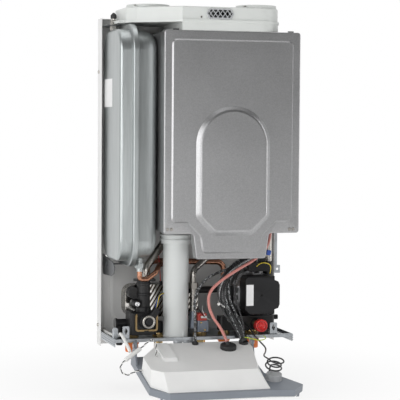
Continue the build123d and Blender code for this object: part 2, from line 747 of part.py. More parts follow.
save(chamber_box.part, "chamber_box")

with BuildPart() as chamber_seal:
    with BuildSketch(front_plane(BOX_FRONT)):
        with Locations(((box_left + box_right) / 2, (box_bottom + box_top) / 2)):
            RectangleRounded(
                box_right - box_left - 3, box_top - box_bottom - 3, CORNER - 0.5)
            RectangleRounded(
                box_right - box_left - 2 * SEAL_WIDTH, box_top - box_bottom - 2 * SEAL_WIDTH,
                CORNER, mode=Mode.SUBTRACT)
        for screw_x, screw_z in FRONT_SCREWS:
            with Locations((screw_x, screw_z)):
                Circle(SCREW_SHANK / 2 + 0.5, mode=Mode.SUBTRACT)
    extrude(amount=SEAL_THICKNESS)
save(chamber_seal.part, "chamber_seal")
# ---------------------------------------------------------------- heat engine in the chamber

DOOR_DIAMETER = 176
EXCHANGER_WALL = 14
BURNER_DIAMETER = 70
BOSS_DIAMETER = 26
FLOW_BOSS = (-60, 545)
RETURN_BOSS = (158, 545)
FLUE_SPIGOT_TOP = 700
ELECTRODE = (112, 520)
ELECTRODE_DIAMETER = 9
LEAD_BOOT_Y = -199
LEAD_BOOT_BOTTOM = 502
PLENUM_WIDTH = 52
PLENUM_DEPTH = 26
PLENUM_BOTTOM = 452.2
FAN_WALL = 3
FAN_MOTOR_DIAMETER = 84
FAN_MOTOR_DEPTH = 34
FAN_INLET = 36
FAN_THROAT = 50
VENTURI_DEPTH = 18
GAS_SOCKET_BOTTOM = 356
RUNNING_FIT = 0.05
BLADE_THICKNESS = 2
door_front = EXCHANGER_FRONT - BURNER_DOOR_THICKNESS
fan_back = FAN_FRONT + FAN_DEPTH


def disc(y, x, z, diameter, depth, mode=Mode.ADD):
    """A round boss from a depth y, towards the room, or towards the wall if depth is negative."""
    side = Align.MIN if depth > 0 else Align.MAX
    with Locations(Location((x, y, z), (90, 0, 0))):
        Cylinder(diameter / 2, abs(depth), align=(Align.CENTER, Align.CENTER, side), mode=mode)


with BuildPart() as heat_exchanger:
    with BuildSketch(side_plane(EXCHANGER_X)):
        with BuildLine():
            outer = EXCHANGER_DIAMETER / 2
            ribs = [(EXCHANGER_BACK, EXCHANGER_Z)]
            ribs += [(EXCHANGER_BACK, EXCHANGER_Z + outer - 6)]
            rib_pitch = (EXCHANGER_BACK - EXCHANGER_FRONT) / 9
            for rib in range(9):
                start = EXCHANGER_BACK - rib * rib_pitch
                height = EXCHANGER_Z + (outer if rib % 2 == 0 else outer - 6)
                ribs += [(start, height), (start - rib_pitch, height)]
            ribs += [(EXCHANGER_FRONT, EXCHANGER_Z + outer - EXCHANGER_WALL),
                     (EXCHANGER_BACK - EXCHANGER_WALL, EXCHANGER_Z + outer - EXCHANGER_WALL),
                     (EXCHANGER_BACK - EXCHANGER_WALL, EXCHANGER_Z)]
            ribs = [p for k, p in enumerate(ribs) if k == 0 or p != ribs[k - 1]]
            Polyline(*ribs, close=True)
        make_face()
    revolve(axis=Axis((EXCHANGER_X, 0, EXCHANGER_Z), (0, 1, 0)))
    # flow and return bosses at the sides
    for boss_x, way, boss_y, boss_z in (
            (FLOW_BOSS[0], 1, FLOW_PIPE[1], FLOW_BOSS[1]),
            (RETURN_BOSS[0], -1, RETURN_PIPE[1], RETURN_BOSS[1])):
        with BuildSketch(side_plane(boss_x)):
            with Locations((boss_y, boss_z)):
                Circle(BOSS_DIAMETER / 2)
        extrude(amount=way * 16)
    # flue spigot on top, open into the hollow
    with BuildSketch(Plane.XY.offset(EXCHANGER_Z + outer - EXCHANGER_WALL - 8)):
        with Locations((FLUE_X, FLUE_Y)):
            Circle(FLUE_BORE / 2 - 0.2)
    extrude(amount=FLUE_SPIGOT_TOP - (EXCHANGER_Z + outer - EXCHANGER_WALL - 8))
    with BuildSketch(Plane.XY.offset(EXCHANGER_Z + outer - EXCHANGER_WALL - 20)):
        with Locations((FLUE_X, FLUE_Y)):
            Circle(FLUE_BORE / 2 - 3)
    extrude(amount=FLUE_SPIGOT_TOP - EXCHANGER_Z, mode=Mode.SUBTRACT)
    # condensate drain below
    with BuildSketch(Plane.XY.offset(EXCHANGER_Z - outer - 14)):
        with Locations((EXCHANGER_X - 30, -70)):
            Circle(11)
    extrude(amount=24)
save(heat_exchanger.part, "heat_exchanger")

with BuildPart() as burner_door:
    disc(EXCHANGER_FRONT, EXCHANGER_X, EXCHANGER_Z, DOOR_DIAMETER + 20, BURNER_DOOR_THICKNESS)
    fillet(burner_door.faces().sort_by(Axis.Y)[0].edges(), 3)
    with BuildSketch(front_plane(door_front)):
        for spoke in range(6):
            angle = radians(30 + 60 * spoke)
            with Locations((EXCHANGER_X + 88 * cos(angle), EXCHANGER_Z + 88 * sin(angle))):
                RegularPolygon(7, 6)
    extrude(amount=6)
    # plenum that takes the gas and air from the fan
    with BuildSketch(front_plane(door_front)) as plenum:
        with BuildLine():
            reach = PLENUM_WIDTH / 2
            Polyline(
                (EXCHANGER_X - reach, PLENUM_BOTTOM), (EXCHANGER_X + reach, PLENUM_BOTTOM),
                (EXCHANGER_X + reach + 10, EXCHANGER_Z), (EXCHANGER_X + reach, EXCHANGER_Z + 34),
                (EXCHANGER_X - reach, EXCHANGER_Z + 34), (EXCHANGER_X - reach - 10, EXCHANGER_Z),
                close=True)
        make_face()
        fillet(plenum.vertices().group_by(Axis.Z)[1:], 14)
    extrude(amount=PLENUM_DEPTH, taper=6)
    fillet(burner_door.faces().sort_by(Axis.Y)[0].edges(), 4)
    # burner tube
    disc(-80, EXCHANGER_X, EXCHANGER_Z, BURNER_DIAMETER, -80 - EXCHANGER_FRONT)
    disc(-82, EXCHANGER_X, EXCHANGER_Z, BURNER_DIAMETER - 4, -82 - EXCHANGER_FRONT, Mode.SUBTRACT)
    # hole for the electrode
    disc(EXCHANGER_FRONT, *ELECTRODE, ELECTRODE_DIAMETER + 0.4, 30, Mode.SUBTRACT)
save(burner_door.part, "burner_door")

with BuildPart() as ignition_electrode:
    disc(EXCHANGER_FRONT + 12, *ELECTRODE, ELECTRODE_DIAMETER, 12 + BURNER_DOOR_THICKNESS + 22)
    disc(door_front, *ELECTRODE, 18, 4)
    disc(EXCHANGER_FRONT + 40, *ELECTRODE, 2.4, 30)
    # elbow boot that the ignition lead comes down from
    with BuildSketch(Plane.XY.offset(LEAD_BOOT_BOTTOM)):
        with Locations((ELECTRODE[0], LEAD_BOOT_Y)):
            Circle(6)
    extrude(amount=ELECTRODE[1] + 6 - LEAD_BOOT_BOTTOM)
save(ignition_electrode.part, "ignition_electrode")

# the scroll of the fan grows by an even step each quarter turn
with BuildPart() as fan_housing:
    with BuildSketch(front_plane(fan_back)):
        with Locations((EXCHANGER_X, FAN_Z)):
            Circle(FAN_DIAMETER / 2 + FAN_WALL)
        with Locations((EXCHANGER_X + (FAN_DIAMETER / 2 + 4 - FAN_THROAT) / 2 - 2, FAN_Z + 34)):
            Rectangle(FAN_THROAT, 66)
        with Locations((EXCHANGER_X, FAN_Z + 62)):
            Rectangle(PLENUM_WIDTH - 4, 10)
    extrude(amount=FAN_DEPTH - 10)
    fillet(fan_housing.faces().sort_by(Axis.Y)[0].edges(), 5)
    disc(fan_back - 4, EXCHANGER_X, FAN_Z, FAN_DIAMETER - 2 * FAN_WALL, FAN_DEPTH - 18, Mode.SUBTRACT)
    # inlet with its mixing tube in front
    disc(FAN_FRONT + 12, EXCHANGER_X, FAN_Z, FAN_INLET + 14, 12 + VENTURI_DEPTH)
    disc(FAN_FRONT + 14, EXCHANGER_X, FAN_Z, FAN_INLET, 14 + VENTURI_DEPTH, Mode.SUBTRACT)
    # socket of the gas pipe under the mixing tube
    with BuildSketch(Plane.XY.offset(GAS_SOCKET_BOTTOM)):
        with Locations((EXCHANGER_X, FAN_FRONT - 9)):
            Circle(8)
    extrude(amount=FAN_Z - FAN_INLET / 2 - 2 - GAS_SOCKET_BOTTOM)
    # motor behind, with the bore of its shaft
    disc(fan_back + FAN_MOTOR_DEPTH, EXCHANGER_X, FAN_Z, FAN_MOTOR_DIAMETER, FAN_MOTOR_DEPTH)
    disc(fan_back + FAN_MOTOR_DEPTH - 6, EXCHANGER_X, FAN_Z,
         FAN_SHAFT + 2 * RUNNING_FIT, FAN_MOTOR_DEPTH, Mode.SUBTRACT)
    # bracket that carries the fan from the back of the box
    with BuildSketch(front_plane(CHAMBER_BACK - SHEET)):
        for side in (-1, 1):
            with Locations((EXCHANGER_X + side * 44, FAN_Z)):
                Rectangle(14, 30)
    extrude(amount=-(fan_back - (CHAMBER_BACK - SHEET)) + 4)
save(fan_housing.part, "fan_housing")

with BuildPart() as fan_impeller:
    blade_outer = FAN_DIAMETER / 2 - FAN_WALL - 5
    disc(fan_back - 8, EXCHANGER_X, FAN_Z, 2 * blade_outer, 2)
    disc(fan_back - 8, EXCHANGER_X, FAN_Z, 24, 14)
    with BuildSketch(front_plane(fan_back - 10)):
        with Locations((EXCHANGER_X, FAN_Z)):
            with PolarLocations((blade_outer + 24) / 2, IMPELLER_BLADES):
                Rectangle(blade_outer - 26, BLADE_THICKNESS, rotation=24)
    extrude(amount=22)
    disc(fan_back + FAN_MOTOR_DEPTH - 8, EXCHANGER_X, FAN_Z, FAN_SHAFT, FAN_MOTOR_DEPTH)
save(fan_impeller.part, "fan_impeller")

with BuildPart() as flue_duct:
    flue_bottom = EXCHANGER_Z + EXCHANGER_DIAMETER / 2 + 4
    with BuildSketch(Plane.XY.offset(flue_bottom)):
        with Locations((FLUE_X, FLUE_Y)):
            Circle(FLUE_BORE / 2 + FLUE_WALL)
    extrude(amount=TOP_LID_TOP - flue_bottom)
    for flange_z, flange_height, flange_diameter in ((TOP_LID_TOP, 2, 96), (box_top, 1.5, 84)):
        with BuildSketch(Plane.XY.offset(flange_z)):
            with Locations((FLUE_X, FLUE_Y)):
                Circle(flange_diameter / 2)
        extrude(amount=flange_height)
    with BuildSketch(Plane.XY.offset(flue_bottom)):
        with Locations((FLUE_X, FLUE_Y)):
            Circle(FLUE_BORE / 2)
    extrude(amount=150, mode=Mode.SUBTRACT)
    with BuildSketch(Plane.XY.offset(TOP_LID_TOP + 2)):
        with Locations((FLUE_X, FLUE_Y)):
            Circle(FLUE_BORE / 2 + 0.6)
    extrude(amount=-45, mode=Mode.SUBTRACT)
save(flue_duct.part, "flue_duct")
# ---------------------------------------------------------------- white top box

CAP_CENTRES = ((-124, -108), (122, -171))
CAP_TAPER = 12
CAP_EAR_WAY = (-0.73, -0.68)
CAP_EAR_DIAMETER = 14
CAP_EAR_HEIGHT = 3
GRILLE_BARS = 5
BASE_STEP_X = -73
DUCT_CLEARANCE = 1
grille_middle_z = (TOP_SPLIT + TOP_LID_TOP) / 2 - 1




def cap_edge(reach):
    """Places beyond the edge of each cap, on its side with the screw."""
    return [(x + CAP_EAR_WAY[0] * (diameter / 2 + reach), y + CAP_EAR_WAY[1] * (diameter / 2 + reach))
            for (x, y), diameter in zip(CAP_CENTRES, TOP_CAP_DIAMETERS)]


def top_outline(grow):
    """Plan of the top box: two bends at the front left, a large round at the front right."""
    with BuildSketch() as outline:
        with BuildLine():
            Polyline(
                (TOP_RIGHT, TOP_BACK), (TOP_LEFT, TOP_BACK), (TOP_LEFT, -140), (-164, -160),
                (-73, TOP_FRONT), (TOP_RIGHT, TOP_FRONT), (TOP_RIGHT, TOP_BACK))
        make_face()
        fillet(outline.vertices().sort_by_distance((TOP_RIGHT, TOP_FRONT))[0], 58)
        fillet(outline.vertices().group_by(Axis.Y)[-1], 12)
        fillet(outline.vertices().sort_by_distance((TOP_LEFT, -140))[0], 8)
        if grow:
            offset(amount=grow)
    return outline.sketch


with BuildPart() as top_box_base:
    with BuildSketch(Plane.XY.offset(TOP_BASE_BOTTOM)):
        add(top_outline(3))
        with Locations((TOP_LEFT - 3, -105)):
            Rectangle(24, 50)
    extrude(amount=TOP_SPLIT - TOP_BASE_BOTTOM)
    # deeper tray over the chamber
    with BuildSketch(Plane.XY.offset(CHAMBER_TOP)):
        add(top_outline(1))
        with Locations((BASE_STEP_X - 128, -120)):
            Rectangle(256, 300, mode=Mode.SUBTRACT)
    extrude(amount=TOP_BASE_BOTTOM - CHAMBER_TOP)
    with BuildSketch(Plane.XY.offset(CHAMBER_TOP + TOP_WALL)):
        add(top_outline(-2))
        with Locations((BASE_STEP_X - 125, -120)):
            Rectangle(256, 300, mode=Mode.SUBTRACT)
    extrude(amount=TOP_SPLIT - CHAMBER_TOP, mode=Mode.SUBTRACT)
    with BuildSketch(Plane.XY.offset(TOP_BASE_BOTTOM + TOP_WALL)):
        add(top_outline(-2))
    extrude(amount=TOP_SPLIT - TOP_BASE_BOTTOM, mode=Mode.SUBTRACT)
    # lugs on the right end
    with BuildSketch(Plane.XY.offset(TOP_SPLIT - 8)):
        for lug_y in (-150, -80):
            with Locations((TOP_RIGHT + 5, lug_y)):
                RectangleRounded(8, 14, 2)
    extrude(amount=12)
    with BuildSketch(Plane.XY.offset(CHAMBER_TOP)):
        with Locations((FLUE_X, FLUE_Y)):
            Circle(FLUE_BORE / 2 + FLUE_WALL + 12 + DUCT_CLEARANCE)
    extrude(amount=TOP_WALL, mode=Mode.SUBTRACT)
save(top_box_base.part, "top_box_base")

with BuildPart() as top_box_lid:
    with BuildSketch(Plane.XY.offset(TOP_SPLIT)):
        add(top_outline(0))
    extrude(amount=TOP_LID_TOP - TOP_SPLIT)
    fillet(top_box_lid.faces().sort_by(Axis.Z)[-1].edges(), 3)
    with BuildSketch(Plane.XY.offset(TOP_SPLIT)):
        add(top_outline(-TOP_WALL))
    extrude(amount=TOP_LID_TOP - TOP_SPLIT - TOP_WALL, mode=Mode.SUBTRACT)
    with BuildSketch(Plane.XY.offset(TOP_LID_TOP)):
        with Locations((FLUE_X, FLUE_Y)):
            Circle(FLUE_BORE / 2 + FLUE_WALL + 0.5)
    extrude(amount=-TOP_WALL, mode=Mode.SUBTRACT)
    # window of the grille
    with BuildSketch(front_plane(TOP_FRONT)):
        with Locations((GRILLE_CENTRE_X, grille_middle_z)):
            RectangleRounded(GRILLE_WIDTH - 8, GRILLE_HEIGHT - 6, 3)
    extrude(amount=-TOP_WALL, mode=Mode.SUBTRACT)
save(top_box_lid.part, "top_box_lid")

with BuildPart() as top_box_caps:
    for cap_centre, ear_centre, diameter in zip(CAP_CENTRES, cap_edge(1), TOP_CAP_DIAMETERS):
        with BuildSketch(Plane.XY.offset(TOP_LID_TOP)):
            with Locations(cap_centre):
                Circle(diameter / 2)
        extrude(amount=TOP_CAP_TOP - TOP_LID_TOP, taper=CAP_TAPER)
        # ear of the cap's screw
        with BuildSketch(Plane.XY.offset(TOP_LID_TOP)):
            with Locations(ear_centre):
                Circle(CAP_EAR_DIAMETER / 2)
        extrude(amount=CAP_EAR_HEIGHT)
save(top_box_caps.part, "top_box_caps")

# grille in front: a frame with pointed ends and crossing bars
with BuildPart() as top_grille:
    with BuildSketch(front_plane(TOP_FRONT)):
        half_w = GRILLE_WIDTH / 2
        half_h = GRILLE_HEIGHT / 2
        for reach, mode in ((0, Mode.ADD), (3, Mode.SUBTRACT)):
            with BuildLine():
                Polyline(
                    (GRILLE_CENTRE_X - half_w + reach, grille_middle_z),
                    (GRILLE_CENTRE_X - half_w + 8 + reach / 2, grille_middle_z + half_h - reach),
                    (GRILLE_CENTRE_X + half_w - 8 - reach / 2, grille_middle_z + half_h - reach),
                    (GRILLE_CENTRE_X + half_w - reach, grille_middle_z),
                    (GRILLE_CENTRE_X + half_w - 8 - reach / 2, grille_middle_z - half_h + reach),
                    (GRILLE_CENTRE_X - half_w + 8 + reach / 2, grille_middle_z - half_h + reach),
                    close=True)
            make_face(mode=mode)
        bar_pitch = (GRILLE_WIDTH - 20) / (GRILLE_BARS - 1)
        for bar in range(GRILLE_BARS):
            for lean in (-36, 36):
                with Locations((GRILLE_CENTRE_X - (GRILLE_WIDTH - 20) / 2 + bar * bar_pitch,
                                grille_middle_z)):
                    Rectangle(1.6, GRILLE_HEIGHT - 1, rotation=lean)
    extrude(amount=2.5)
save(top_grille.part, "top_grille")

# ---------------------------------------------------------------- screws

CASE_SCREWS_Z = (630, 21)
SCREW_LENGTH = 7


def pan_screw(place, way, head=SCREW_HEAD, shank=0.0):
    """A pan-head screw: its head stands on a surface and its shank goes into it."""
    with Locations(Plane(origin=place, z_dir=way).location):
        Cone(head / 2, head * 0.38, head * 0.32, align=(Align.CENTER, Align.CENTER, Align.MIN))
        if shank:
            Cylinder(
                SCREW_SHANK / 2, shank, align=(Align.CENTER, Align.CENTER, Align.MAX))


with BuildPart() as cover_screws:
    for screw_x, screw_z in FRONT_SCREWS:
        pan_screw((screw_x, CHAMBER_FRONT, screw_z), (0, -1, 0), shank=SCREW_LENGTH)
    for ear_x, ear_y in cap_edge(4):
        pan_screw((ear_x, ear_y, TOP_LID_TOP + CAP_EAR_HEIGHT), (0, 0, 1), head=7)
    pan_screw((-28, TOP_FRONT, TOP_SPLIT + 6), (0, -1, 0), head=5)
    for screw_z in CASE_SCREWS_Z:
        pan_screw((-half_width, -14, screw_z), (-1, 0, 0), head=9)
        pan_screw((half_width, -14, screw_z), (1, 0, 0), head=9)
save(cover_screws.part, "cover_screws")
# ---------------------------------------------------------------- condensate siphon

with BuildPart() as siphon_body:
    with BuildSketch(Plane(origin=(SIPHON_X, SIPHON_Y, 0), x_dir=(1, 0, 0), z_dir=(0, -1, 0))):
        with BuildLine():
            radius = SIPHON_DIAMETER / 2
            collar = SIPHON_COLLAR / 2
            Polyline(
                (0, SHEET), (radius - 3, SHEET), (radius - 1, 6), (radius, SIPHON_TOP - 17),
                (collar, SIPHON_TOP - 17), (collar, SIPHON_TOP - 14),
                (collar - 1.5, SIPHON_TOP - 14), (collar - 2.5, SIPHON_TOP), (10, SIPHON_TOP),
                (10, CHAMBER_BOTTOM + 8), (7, CHAMBER_BOTTOM + 8), (7, SIPHON_TOP - 3),
                (radius - 2.5, SIPHON_TOP - 3), (radius - 3, 6), (radius - 5, SHEET + 2.5),
                (0, SHEET + 2.5), close=True)
        make_face()
    revolve(axis=Axis((SIPHON_X, SIPHON_Y, 0), (0, 0, 1)))
    # wedge-shaped rib at the foot
    with BuildSketch(Plane(origin=(SIPHON_X + 8, SIPHON_Y, 0), x_dir=(0, 1, 0), z_dir=(1, 0, 0))):
        with BuildLine():
            Polyline((-radius - 2, SHEET), (-radius + 7, SHEET), (-radius + 7, 40), close=True)
        make_face()
    extrude(amount=4)
save(siphon_body.part, "siphon_body")

# ---------------------------------------------------------------- pump

CAN_RIBS = 18
CAN_RIB_DEPTH = 3
box_back = PUMP_FRONT + PUMP_BOX_DEPTH
can_back = box_back + PUMP_CAN_DEPTH
volute_back = can_back + VOLUTE_DEPTH
AIR_VENT_LEFT = 124
AIR_VENT_RIGHT = 178
AIR_VENT_TOP = 174
AIR_VENT_BOTTOM = 154
MANIFOLD_TOP = 46

with BuildPart() as pump_control_box:
    with BuildSketch(front_plane(box_back)):
        with BuildLine():
            w = PUMP_BOX_WIDTH / 2
            h = PUMP_BOX_HEIGHT / 2
            outline = [
                (-w, -h + 12), (-w + 12, -h), (w - 13, -h), (w - 13, -h + 11), (w - 4, -h + 14),
                (w, -h + 24), (w, h - 22), (w - 4, h - 13), (w - 13, h - 10), (w - 13, h),
                (-w + 8, h), (-w + 2, h - 6), (-w, h - 16)]
            Polyline(*[(PUMP_X + x, PUMP_Z + z) for x, z in outline], close=True)
        make_face()
    extrude(amount=PUMP_BOX_DEPTH, taper=2)
    fillet(pump_control_box.faces().sort_by(Axis.Y)[0].edges(), 2.5)
    disc(PUMP_FRONT - 1, PUMP_X - 3, PUMP_Z, 5, -4, Mode.SUBTRACT)
save(pump_control_box.part, "pump_control_box")

with BuildPart() as pump_motor:
    disc(can_back, PUMP_X, PUMP_Z, PUMP_CAN_DIAMETER - 2 * CAN_RIB_DEPTH, PUMP_CAN_DEPTH)
    # cooling ribs round the can
    with BuildSketch(front_plane(can_back)):
        with Locations((PUMP_X, PUMP_Z)):
            with PolarLocations(PUMP_CAN_DIAMETER / 2 - CAN_RIB_DEPTH, CAN_RIBS):
                Rectangle(2 * CAN_RIB_DEPTH, 5)
    extrude(amount=PUMP_CAN_DEPTH - 6)
    disc(can_back, PUMP_X, PUMP_Z, PUMP_CAN_DIAMETER, 6)
    disc(can_back, PUMP_X, PUMP_Z, PUMP_SHAFT + 2 * RUNNING_FIT, 36, Mode.SUBTRACT)
save(pump_motor.part, "pump_motor")

with BuildPart() as pump_housing:
    disc(volute_back, PUMP_X, PUMP_Z, PUMP_CAN_DIAMETER - 4, VOLUTE_DEPTH)
    fillet(pump_housing.faces().sort_by(Axis.Y)[-1].edges(), 8)
    # foot that stands on the return manifold
    with BuildSketch(Plane.XY.offset(MANIFOLD_TOP)):
        with Locations((PUMP_X, (can_back + volute_back) / 2)):
            Rectangle(64, VOLUTE_DEPTH - 10)
    extrude(amount=PUMP_Z - MANIFOLD_TOP - 20)
    # air vent block above the motor, with its round cap and sensor port
    with BuildSketch(front_plane(can_back + 14)):
        with Locations(((AIR_VENT_LEFT + AIR_VENT_RIGHT) / 2, (AIR_VENT_TOP + AIR_VENT_BOTTOM) / 2)):
            RectangleRounded(AIR_VENT_RIGHT - AIR_VENT_LEFT, AIR_VENT_TOP - AIR_VENT_BOTTOM, 6)
    extrude(amount=can_back + 14 - box_back)
    with BuildSketch(Plane.XY.offset(AIR_VENT_TOP - 2)):
        with Locations((AIR_VENT_LEFT + 16, can_back - 20)):
            Circle(11)
    extrude(amount=9)
    with BuildSketch(Plane.XY.offset(AIR_VENT_TOP - 2)):
        with Locations((AIR_VENT_RIGHT - 14, can_back - 24)):
            Rectangle(14, 18)
    extrude(amount=14)
    # neck that carries the air vent block
    with BuildSketch(front_plane(can_back + 14)):
        with Locations((PUMP_X, AIR_VENT_BOTTOM)):
            Rectangle(30, 24)
    extrude(amount=13)
    # socket of the return pipe
    with BuildSketch(Plane.XY.offset(120)):
        with Locations(RETURN_PIPE):
            Circle(13)
    extrude(amount=52)
    with BuildSketch(front_plane(RETURN_PIPE[1] + 13)):
        with Locations(((PUMP_X + RETURN_PIPE[0]) / 2, 128)):
            Rectangle(RETURN_PIPE[0] - PUMP_X, 16)
    extrude(amount=20)
    disc(can_back + 28, PUMP_X, PUMP_Z, PUMP_IMPELLER_DIAMETER + 8, 28, Mode.SUBTRACT)
save(pump_housing.part, "pump_housing")

with BuildPart() as pump_impeller:
    disc(can_back + 24, PUMP_X, PUMP_Z, PUMP_IMPELLER_DIAMETER, 3)
    disc(can_back + 10, PUMP_X, PUMP_Z, PUMP_IMPELLER_DIAMETER, 3)
    with BuildSketch(front_plane(can_back + 21.5)):
        with Locations((PUMP_X, PUMP_Z)):
            with PolarLocations(PUMP_IMPELLER_DIAMETER / 4 + 2, 7):
                Rectangle(PUMP_IMPELLER_DIAMETER / 2 - 6, 2, rotation=35)
    extrude(amount=15)
    disc(can_back + 24, PUMP_X, PUMP_Z, PUMP_SHAFT, 24 + 34)
save(pump_impeller.part, "pump_impeller")

# ---------------------------------------------------------------- return manifold and relief valve

KNOB_GRIPS = 12
KNOB_GRIP_RADIUS = 1.7
KNOB_RING = (19, 14)
KNOB_HUB = 8
ARM_LEFT = -55
ARM_RIGHT = 82
ARM_Y = -104.5
ARM_Z = 110
ARM_DIAMETER = 16
VESSEL_SOCKET_X = -46
VESSEL_SOCKET_TOP = 124
CROSS_SOCKET_BACK = -84
NOZZLE_RIGHT_X = -8
CAPILLARY_OUTLET = (112, 30)
RELIEF_STEM = 8
manifold_front = -128

with BuildPart() as return_manifold:
    with BuildSketch(Plane.XY.offset(12)):
        with Locations((PUMP_X, (manifold_front - 40) / 2)):
            RectangleRounded(92, -40 - manifold_front, 8)
        with Locations((79, TAIL_Y)):
            RectangleRounded(50, 30, 6)
    extrude(amount=MANIFOLD_TOP - 12)
    # arm that runs in front of the plate heat exchanger
    with BuildSketch(side_plane(ARM_LEFT)):
        with Locations((ARM_Y, ARM_Z)):
            Circle(ARM_DIAMETER / 2)
    extrude(amount=ARM_RIGHT - ARM_LEFT)
    with BuildSketch(Plane.XY.offset(MANIFOLD_TOP - 6)):
        with Locations((ARM_RIGHT, ARM_Y)):
            Circle(11)
    extrude(amount=ARM_Z + 9 - MANIFOLD_TOP + 6)
    # sockets of the two copper pipes
    with BuildSketch(Plane.XY.offset(ARM_Z)):
        with Locations((VESSEL_SOCKET_X, ARM_Y)):
            Circle(8)
    extrude(amount=VESSEL_SOCKET_TOP - ARM_Z)
    disc(CROSS_SOCKET_BACK, ARM_RIGHT, ARM_Z, 20, CROSS_SOCKET_BACK - ARM_Y)
    # drain cock on the right
    with BuildSketch(side_plane(190)):
        with Locations((-110, 40)):
            Circle(6)
    extrude(amount=14)
    # seat of the relief valve
    disc(manifold_front, RELIEF_X, RELIEF_Z, 26, 6)
    # outlet of the gauge capillary
    disc(manifold_front, CAPILLARY_OUTLET[0], CAPILLARY_OUTLET[1], 9, 6)
    # nozzle to the heat exchanger
    disc(EXCHANGER_PLATE_FRONT, NOZZLE_RIGHT_X, 108, 16, 6)
save(return_manifold.part, "return_manifold")

with BuildPart() as relief_valve:
    disc(manifold_front - 6, RELIEF_X, RELIEF_Z, 22, 14)
    disc(manifold_front - 6, RELIEF_X, RELIEF_Z, RELIEF_STEM, -KNOB_FRONT + manifold_front - 6 - 4)
save(relief_valve.part, "relief_valve")

with BuildPart() as relief_knob:
    disc(KNOB_FRONT + KNOB_DEPTH, RELIEF_X, RELIEF_Z, KNOB_DIAMETER, KNOB_DEPTH)
    fillet(relief_knob.faces().sort_by(Axis.Y)[0].edges(), 2)
    with BuildSketch(front_plane(KNOB_FRONT + KNOB_DEPTH)):
        with Locations((RELIEF_X, RELIEF_Z)):
            with PolarLocations(KNOB_DIAMETER / 2 + 0.8, KNOB_GRIPS):
                Circle(KNOB_GRIP_RADIUS)
    extrude(amount=KNOB_DEPTH, mode=Mode.SUBTRACT)
    # dished face with a raised ring and hub
    disc(KNOB_FRONT + 3, RELIEF_X, RELIEF_Z, KNOB_DIAMETER - 7, 3, Mode.SUBTRACT)
    disc(KNOB_FRONT + 3, RELIEF_X, RELIEF_Z, KNOB_RING[0], 2.2)
    disc(KNOB_FRONT + 3, RELIEF_X, RELIEF_Z, KNOB_RING[1], 3, Mode.SUBTRACT)
    disc(KNOB_FRONT + 3, RELIEF_X, RELIEF_Z, KNOB_HUB, 2.6)
    disc(KNOB_FRONT + KNOB_DEPTH, RELIEF_X, RELIEF_Z, RELIEF_STEM + 2 * RUNNING_FIT, KNOB_DEPTH - 4,
         Mode.SUBTRACT)
save(relief_knob.part, "relief_knob")
# ---------------------------------------------------------------- diverter valve and its actuator

BLOCK_LEFT = -174
BLOCK_RIGHT = -110
BLOCK_FRONT = -152
BLOCK_BACK = -98
BLOCK_TOP = 66
BLOCK_BOTTOM = 12
FLANGE_TOP = 142
FLOW_OUTLET = (-131, -128)
NOZZLE_LEFT_X = -150

GAS_OUTLET = (-14.5, -125)
DRAIN_Z = 36
DRAIN_DIAMETER = 20
GAS_PIPE_BOTTOM = 62
STEM_BORE_DEPTH = 40
ACTUATOR_DIAMETER = 34
ACTUATOR_FRONT = -166
PLUG_LEAN = 35
CLIP_WIDTH = 54
CLIP_HEIGHT = 42
CLIP_WIRE = 4
CLIP_DEPTH = 6
NOZZLES = ((NOZZLE_LEFT_X, 62), (NOZZLE_LEFT_X, 108))

with BuildPart() as diverter_valve:
    with BuildSketch(Plane.XY.offset(BLOCK_BOTTOM)):
        with Locations(((BLOCK_LEFT + BLOCK_RIGHT) / 2, (BLOCK_FRONT + BLOCK_BACK) / 2)):
            RectangleRounded(BLOCK_RIGHT - BLOCK_LEFT, BLOCK_BACK - BLOCK_FRONT, 7)
    extrude(amount=BLOCK_TOP - BLOCK_BOTTOM)
    fillet(diverter_valve.faces().sort_by(Axis.Z)[-1].edges(), 4)
    # foot towards the hot water tail
    with BuildSketch(Plane.XY.offset(BLOCK_BOTTOM)):
        with Locations((-99, TAIL_Y)):
            RectangleRounded(28, 24, 6)
    extrude(amount=26)
    # upright valve body with its ribbed neck and the cap that its pipe enters
    with BuildSketch(Plane(origin=(DIVERTER_X, DIVERTER_Y, 0), x_dir=(1, 0, 0), z_dir=(0, -1, 0))):
        with BuildLine():
            body = DIVERTER_DIAMETER / 2
            Polyline(
                (0, BLOCK_TOP - 6), (body + 2, BLOCK_TOP - 6), (body + 2, 76), (body, 78),
                (body, 104), (body + 1.5, 105), (body + 1.5, 109), (body, 110), (body, 128),
                (body + 2, 129), (body + 2, 133), (body, 134), (body, 137), (0, 137), close=True)
        make_face()
    revolve(axis=Axis((DIVERTER_X, DIVERTER_Y, 0), (0, 0, 1)))
    with BuildSketch(Plane.XY.offset(FLANGE_TOP - 5)):
        with Locations((DIVERTER_X + 3, DIVERTER_Y + 2)):
            RectangleRounded(50, 24, 4)
    extrude(amount=5)
    # round boss towards the left, with a dished cap
    disc(-104, -160, 109, 27, 28)
    disc(-130, -160, 109, 19, 3, Mode.SUBTRACT)
    with BuildSketch(side_plane(-160)):
        with Locations((-118, 109)):
            Circle(11)
    extrude(amount=20)
    # nozzles to the plate heat exchanger
    for nozzle_x, nozzle_z in NOZZLES:
        disc(EXCHANGER_PLATE_FRONT, nozzle_x, nozzle_z, 18, 30)
    # seat and bore of the stem
    disc(BLOCK_FRONT, ACTUATOR_X, ACTUATOR_Z, STEM_DIAMETER + 2 * RUNNING_FIT, -STEM_BORE_DEPTH,
         Mode.SUBTRACT)
    # arm of the drain elbow
    with BuildSketch(side_plane(BLOCK_LEFT - 4)):
        with Locations((HOSE_Y, DRAIN_Z)):
            Circle(DRAIN_DIAMETER / 2)
    extrude(amount=8)
save(diverter_valve.part, "diverter_valve")

